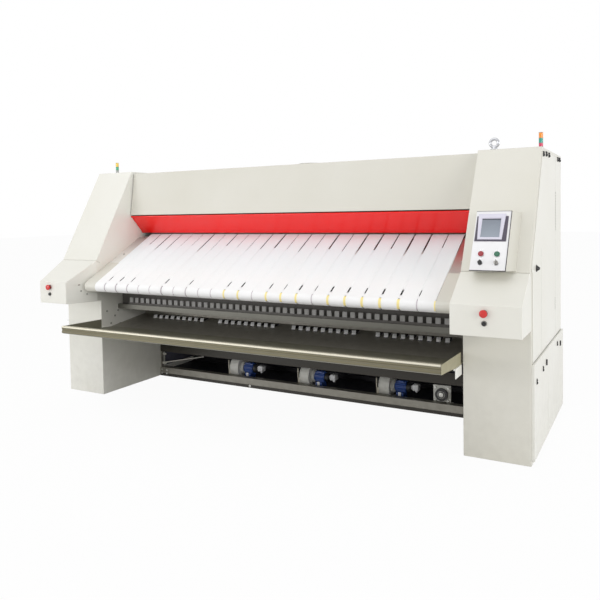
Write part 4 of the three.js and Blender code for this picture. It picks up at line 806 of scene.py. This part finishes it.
# The tie rail and the comb. A dark strip covers the comb's root, and the chest's dark jacket closes the view
# behind it. The jacket is partly the chest's casing and partly a sheet that shuts off the interior; it and
# the strip are coloured dark grey as painted shade.
dress(brushed_steel("rail_steel", (134, 133, 126), 0.4, (3, 60, 60), 0.5), "cross_bar")
dress(coated("comb_coat", (186, 185, 184), reach=1.4, gloss=0.36, soil=(80, 74, 66)), "guide_rail")
jacket = coated("jacket_and_painted_shade", (108, 105, 102), reach=1.2, gloss=0.45, soil=(30, 28, 26))
bm = slabs(((-1380, 192, 735.5), (1380, 193.8, 755), 0.6),
           ((-1490, 235, 700), (1490, 238, 900), 0.8), ((-1490, 235, 897), (1490, 560, 900), 0.8))
piece("chest_jacket", bm, jacket)

# A white sheet bracket carries the tray's right end, and an apron hangs before the blowers, coloured dark
# brown as painted shade under the tray.
bm = slabs(((1484, -150, 548), (1497, -20, 560), 1), ((1494, -150, 500), (1498.5, -20, 560), 1))
piece("tray_bracket", bm, coated("bracket_white", (238, 238, 232), dirt=0.1, gloss=0.4))
piece("apron_skin", slabs(((-1499, 704.6, 226), (1499, 705.8, 309.5), 0.5)),
      coated("apron_painted_shade", (48, 44, 36), dirt=0.2, gloss=0.45))

# Light strut and clamp at the left end, behind the front beam.
bm = slabs(((-1489, 722, 190), (-1452, 734, 206), 1.5), ((-1489, 716, 104), (-1455, 740, 124), 2))
rod(bm, (-1470, 728, 118), (-1120, 860, 176), 6, 16, 1)
piece("left_strut", bm, coated("strut_white", (226, 224, 216), dirt=0.15, gloss=0.4))


# ---- Control box ----
# A white sheet-steel box on the sloping front holds a framed touch screen, a stop and a start
# button, a mode selector and a key switch; a black rubber edging runs round its face.
eased("control_box", beige, 2.5)


def onto_slope(bm):
    """Lays flat work on the cabinet's slope: there Z runs up it and -Y points out of it."""
    bm.transform(Matrix.Translation(at(0, -39, 1121)) @ Matrix.Rotation(-atan2(434, 745), 4, "X")
                 @ Matrix.Translation(-at(0, 0, 0)))
    return bm


box_white = coated("box_white", (238, 238, 240), dirt=0.1, reach=2.2, gloss=0.3, soil=(150, 144, 130),
                   Coat_Weight=0.2)
edging = moulded("edging_rubber_and_painted_shadow", (52, 48, 58), 0.55)
surround = moulded("screen_surround", (78, 72, 88), 0.42)
for name, finish, slot, *rows in (
        ("box_face_plate", box_white, "white", ((1578, -100.9, -38.5), (1778, -100.1, 346.5), 0.3)),
        ("box_edging", edging, "black", ((1777, -102.6, -40.5), (1780.5, -96, 348.5), 0.8),
         ((1576.5, -102.6, -40.8), (1780.5, -96, -37.6), 0.8),
         ((1576.5, -102, 346), (1780.5, -98, 348.2), 0.6)),
        ("screen_surround", surround, "black", ((1585, -104.5, 147), (1765, -100.8, 312), 1))):
    piece(name, onto_slope(slabs(*rows)), finish)

# The screen's frame is wider at the top, with a sunk glass.
bm = bmesh.new()
corners = [(1602, 157), (1740, 157), (1750, 326), (1592, 326)]
face = bm.faces.new([bm.verts.new(at(x, -109.2, z)) for x, z in corners])
drawn_out(bm, [face], (0, 0.0048, 0))
bmesh.ops.recalc_face_normals(bm, faces=bm.faces)
front = min(bm.faces, key=lambda f: f.calc_center_median().y)
rounded(bm, front.edges, 0.0015)
front = min(bm.faces, key=lambda f: f.calc_center_median().y)
bmesh.ops.inset_region(bm, faces=[front], thickness=0.011, depth=0)
upper = [vert for vert in front.verts if vert.co.z > 0.25]
bmesh.ops.translate(bm, verts=upper, vec=(0, 0, -0.018))
bmesh.ops.scale(bm, verts=upper, vec=(0.88, 1, 1), space=Matrix.Translation(-at(1671, 0, 0)))
bmesh.ops.inset_region(bm, faces=[front], thickness=0.0012, depth=-0.0022)
piece("screen_bezel", onto_slope(bm), moulded("screen_frame", (216, 214, 228), 0.34),
      stands_for=("touch_screen",))

# Grey-blue glass, lighter towards its foot as a painted reflection, with a dark line under the frame's top as
# the frame's painted shadow.
glass = bpy.data.materials.new("screen_glass")
glass.use_nodes = True
tree = glass.node_tree
shader = tree.nodes["Principled BSDF"]
spot = on_object(tree)
reflection_fade = ramp(tree, on_object(tree, 2), 1.29, 1.43)
misty = times(tree, noise(tree, spot, 14, 3), 0.25)
tone = blended(tree, plus(tree, reflection_fade, misty), srgb(150, 160, 172), srgb(104, 114, 128))
tree.links.new(tone, shader.inputs["Base Color"])
tree.links.new(ramp(tree, noise(tree, spot, 60, 2), 0.3, 0.7, 0.1, 0.17), shader.inputs["Roughness"])
shader.inputs["Coat Weight"].default_value = 0.6
piece("screen_glass", onto_slope(slabs(((1617, -107.4, 172), (1725, -106.2, 294), 0.3))), glass)
piece("screen_shade", onto_slope(slabs(((1617.5, -107.7, 287), (1724.5, -107.2, 293.5)))), edging)


# Round control heads: a bright collar, a domed cap, and blank label plates above them.
def dome(bm, start, radius, height, rings, sides):
    """A cap that bulges from a place towards -Y."""
    angles = [count * pi / 2 / rings for count in range(rings)]
    turned(bm, start, [(radius * cos(a), -height * sin(a)) for a in angles] + [(0, -height)], sides)


def head(x, z, bulge, *steps, rings=5):
    """A button's round steps towards -Y, each from, to and a rod's shape, under a domed cap."""
    bm = bmesh.new()
    for start, end, *shape in steps:
        rod(bm, (x, start, z), (x, end, z), *shape)
    dome(bm, (x, end, z), shape[0], bulge, rings, shape[1])
    return bm


def collar(bm, place, inner, outer, height, sides=32):
    """A flat ring with an eased rim that stands out towards -Y."""
    turned(bm, place, [(inner, 0), (outer, 0), (outer - 0.6, -height), (inner, -height)], sides, True)


bm = bmesh.new()
stop_x, start_x, button_z, selector_z = 1633, 1723, 65, 10
for x in (stop_x, start_x):
    for z, inner in ((selector_z, 13.6), (button_z, 17.6)):
        collar(bm, (x, -100.8, z), inner, inner + 3, 1.8)
        slab(bm, (x - 15, -101.3, z + 23), (x + 15, -100.8, z + 28), 0.2)
chrome_collar = brushed_steel("chrome_collar", (214, 214, 216), 0.16, (40, 40, 40), 0.1)
piece("control_collars", onto_slope(bm), chrome_collar)

for name, x, colour, gloss, slot in (("stop", stop_x, (150, 18, 34), 0.24, "red"),
                                     ("start", start_x, (16, 100, 70), 0.26, "green")):
    bm = onto_slope(head(x, button_z, 1.9, (-72, -105.5, 7.9, 20), (-105.1, -108, 16, 32)))
    piece(name + "_cap", bm, moulded(name + "_plastic", colour, gloss, Coat_Weight=0.2),
          name + "_button", (name + "_button",))
key_steel = brushed_steel("key_steel", (150, 148, 144), 0.28, (60, 60, 60))
button_black = moulded("button_black", (26, 27, 29), 0.3)
dress(key_steel, "key_switch")
dress(button_black, "mode_selector")


# ---- Consoles and push buttons ----
# A sloping desk on the front of each cabinet, in the same ivory. It carries a red mushroom stop
# on a turned steel collar, and a black push button below it in a collar of its own.
signal_red = moulded("red_plastic", (206, 26, 24), 0.24, Coat_Weight=0.35)
stop_z, push_z = 916, 860
for side, x in (("left", -1775), ("right", 1692)):
    eased(side + "_console", ivory, 3.5)
    bm = bmesh.new()
    collar(bm, (x, -280, stop_z), 11.6, 20, 3)
    collar(bm, (x, -280, push_z), 12.8, 16, 2)
    piece(side + "_button_collars", bm, key_steel)
    bm = head(x, stop_z, 5.3, (-251, -295, 10.9, 24), (-294.1, -299, 18.5, 36, 0, 22),
              (-299, -302.6, 22, 36), rings=6)
    piece(side + "_stop_mushroom", bm, signal_red, side + "_emergency", (side + "_emergency_button",))
    bm = head(x, push_z, 1.5, (-251, -286, 7.9, 20), (-285.1, -288.4, 12, 28))
    piece(side + "_push_cap", bm, button_black, side + "_push", (side + "_push_button",))


# ---- Blowers and flange bearing ----
# Three small exhaust blowers stand on the shelf of the base frame: a cast scroll with a bolted
# inlet ring, a blue finned motor with a black cowl, and a white terminal box at its end.
blowers = ("blower_1", "blower_2", "blower_3")
scroll_grey = coated("scroll_grey", (232, 232, 226), dirt=0.4, reach=0.3, gloss=0.4,
                     soil=(120, 112, 98), peel=2.0)
dress(scroll_grey, *(name + "_scroll" for name in blowers))
dress(brushed_steel("fan_steel", (150, 150, 148), 0.4, (20, 20, 20)), *(name + "_fan" for name in blowers))
bracket_beige = coated("bracket_beige", (206, 200, 184), dirt=0.35, reach=0.3, gloss=0.45,
                       soil=(110, 100, 84))
terminal_white = moulded("terminal_white", (240, 241, 243), 0.34)
axle = (850, 130.3)


def ring(bm, x, length, inner, outer, sides=36):
    """A tube along X on the blowers' axle, in millimetres."""
    turned(bm, (x, *axle), [(inner, 0), (outer, 0), (outer, length), (inner, length)], sides, True, (1, 0, 0))


def shaft(bm, start, end, radius, *shape, **tips):
    """A round bar along X on the blowers' axle."""
    rod(bm, (start, *axle), (end, *axle), radius, *shape, **tips)


def bolt_circle(bm, x, bolts, radius, first, out):
    """Small bolts in a circle round the axle."""
    for turn in range(bolts):
        angle = turn * 2 * pi / bolts + first
        hex_bolt(bm, (x, axle[0] + radius * cos(angle), axle[1] + radius * sin(angle)), (out, 0, 0), 8, 4)


def ribbed_body(bm, start, end, radius, ribs, depth):
    """A round housing along X with cooling ribs along its length."""
    middle = at(start, *axle)
    verts = bmesh.ops.create_circle(bm, segments=ribs * 4, radius=radius / 1000, cap_ends=True,
                                    matrix=Matrix.Translation(middle) @ facing_x)["verts"]
    for i, vert in enumerate(verts):
        if i % 4 in (1, 2):
            vert.co += (middle - vert.co).normalized() * depth / 1000
    drawn_out(bm, verts[0].link_faces, ((end - start) / 1000, 0, 0))


for name, x in zip(blowers, (-715, -15, 685)):
    face, back = x - 42, x + 42.3
    bm = bmesh.new()
    ring(bm, face - 7, 7.5, 42, 62)
    ring(bm, face - 11, 4.5, 42, 50)
    bolt_circle(bm, face - 7, 6, 56, 0.4, -1)
    ring(bm, face - 0.5, 6, 84, 90.5)
    ring(bm, back - 6.5, 6, 84, 90.5)
    piece(name + "_inlet_ring", bm, scroll_grey)
    bm = slabs(((face - 27.8, 776, 46.2), (face - 20, 786, 196), 1.5),
               ((face - 27.8, 776, 46.2), (face - 4.5, 781, 120), 1.5),
               ((face - 27.8, 914, 46.2), (face - 20, 924, 196), 1.5))
    piece(name + "_bracket", bm, bracket_beige)

    bm = bmesh.new()
    shaft(bm, back, back + 26, 53.5, 40, 2, tip=51)
    bolt_circle(bm, back + 26, 4, 44, pi / 4, 1)
    piece(name + "_motor_flange", bm, scroll_grey)
    bm = bmesh.new()
    shaft(bm, back + 26, back + 30, 39, 36, 1)
    ribbed_body(bm, back + 30, back + 112, 46, 20, 3.5)
    shaft(bm, back + 112, back + 118, 44, 36, 1.5)
    for y in (812, 888):
        slab(bm, (back + 42, y - 7, 42.4), (back + 100, y + 7, 92), 2)
    slab(bm, (back + 44, 828, 170), (back + 94, 872, 177), 2)
    piece(name + "_motor_body", bm, motor_blue, stands_for=(name + "_motor",))
    bm = bmesh.new()
    shaft(bm, back + 118, back + 148, 38, 36, 3, tip=34)
    for slit in range(830, 871, 10):
        slab(bm, (back + 148, slit - 2, 108), (back + 149.5, slit + 2, 152))
    piece(name + "_fan_cowl", bm, black_plastic)
    bm = slabs(((back + 166, 823, 114), (back + 213, 877, 160), 4),
               ((back + 149, 838, 118), (back + 167, 862, 146), 1.5),
               ((back + 169, 821.5, 117), (back + 210, 823.5, 157), 1),
               ((back + 58, 800, 52), (back + 82, 806, 96), 2),
               ((back + 58, 800, 46), (back + 120, 806, 54), 2))
    rod(bm, (back + 189, axle[0], 110.5), (back + 189, axle[0], 98), 9, 20, 1.5)
    piece(name + "_terminal_box", bm, terminal_white)

# The bearing has a black seal round a bright inner ring, and four bolts in its square flange.
eased("flange_bearing", scroll_grey, 3)
x, y, z = bearing = 1139, 770, 132
bm = bmesh.new()
for inner, outer, reach in ((27, 46, 23.5), (19, 26, 27)):
    collar(bm, bearing, inner, outer, reach, 40)
piece("bearing_seal", bm, black_plastic)
bm = bmesh.new()
collar(bm, bearing, 20.5, 28, 25, 40)
rod(bm, (x, y + 14, z), (x, y - 28, z), 17.5, 28, 1.5)
for across, up in ((-48, -48), (-48, 48), (48, -48), (48, 48)):
    hex_bolt(bm, (x + across, y, z + up), (0, -1, 0), 15, 8)
piece("bearing_core", bm, zinc)


# ---- Signal lamps and lifting eye ----
# A slim stacked signal lamp stands on each cabinet, with ribbed lenses, and a forged and
# chromed lifting eye is screwed into the right one.
lamp_y, cabinet_top = 585, 1866.3
tier_feet, tier_tops = (1883, 1906.5, 1937.7), (1903.5, 1934.7, 1971)
lamp_tiers = {
    "left": (("grey", (170, 172, 170)), ("green", (56, 176, 130)), ("yellow", (246, 206, 60))),
    "right": (("red", (214, 30, 84)), ("green", (26, 160, 140)), ("orange", (250, 150, 34))),
}


def lens(x, low, high, radius=13, ribs=20):
    """A ribbed lens with a closed top and foot."""
    bm = bmesh.new()
    middle = at(x, lamp_y, low)
    rim = bmesh.ops.create_circle(bm, segments=2 * ribs, radius=radius / 1000, cap_ends=True,
                                  matrix=Matrix.Translation(middle))["verts"]
    for vert in rim[::2]:
        vert.co += (middle - vert.co) * 0.07
    drawn_out(bm, rim[0].link_faces, (0, 0, (high - low) / 1000))
    return bm


for side, x in (("left", -1858), ("right", 1858)):
    bm = bmesh.new()
    rod(bm, (x, lamp_y, cabinet_top), (x, lamp_y, 1872), 22, 32, 1.5)
    rod(bm, (x, lamp_y, 1872), (x, lamp_y, 1883), 12, 28, 1, tip=13.5)
    for z in (1905, 1936.2, 1972.5):
        rod(bm, (x, lamp_y, z - 1.5), (x, lamp_y, z + 1.5), 13.6, 28, 0.5)
    piece(side + "_lamp_foot", bm, coated("lamp_foot_" + side, (150, 150, 148), gloss=0.4),
          stands_for=(side + "_signal_lamp",))
    for (tone, colour), low, high in zip(lamp_tiers[side], tier_feet, tier_tops):
        piece(side + "_lamp_" + tone, lens(x, low, high), moulded(side + "_lens_" + tone, colour, 0.16,
              Coat_Weight=0.5), crease=60)

x, y, eye_radius, bar_radius = 1597, 432, 25.5, 9.5
angles = [turn * pi / 8 for turn in range(16)]
bar_section = [(eye_radius + bar_radius * cos(angle), bar_radius * sin(angle)) for angle in angles]
bm = bmesh.new()
turned(bm, (x, y, 1908.8), bar_section, 40, True)
rod(bm, (x, y, cabinet_top + 0.1), (x, y, 1871), 25, 32, 1.5)
rod(bm, (x, y, 1871), (x, y, 1884), 20, 28, tip=12)
piece("forged_eye", bm, brushed_steel("chrome_eye", (205, 206, 210), 0.14, (30, 30, 30), 0.1),
      stands_for=("lifting_eye",), crease=40)
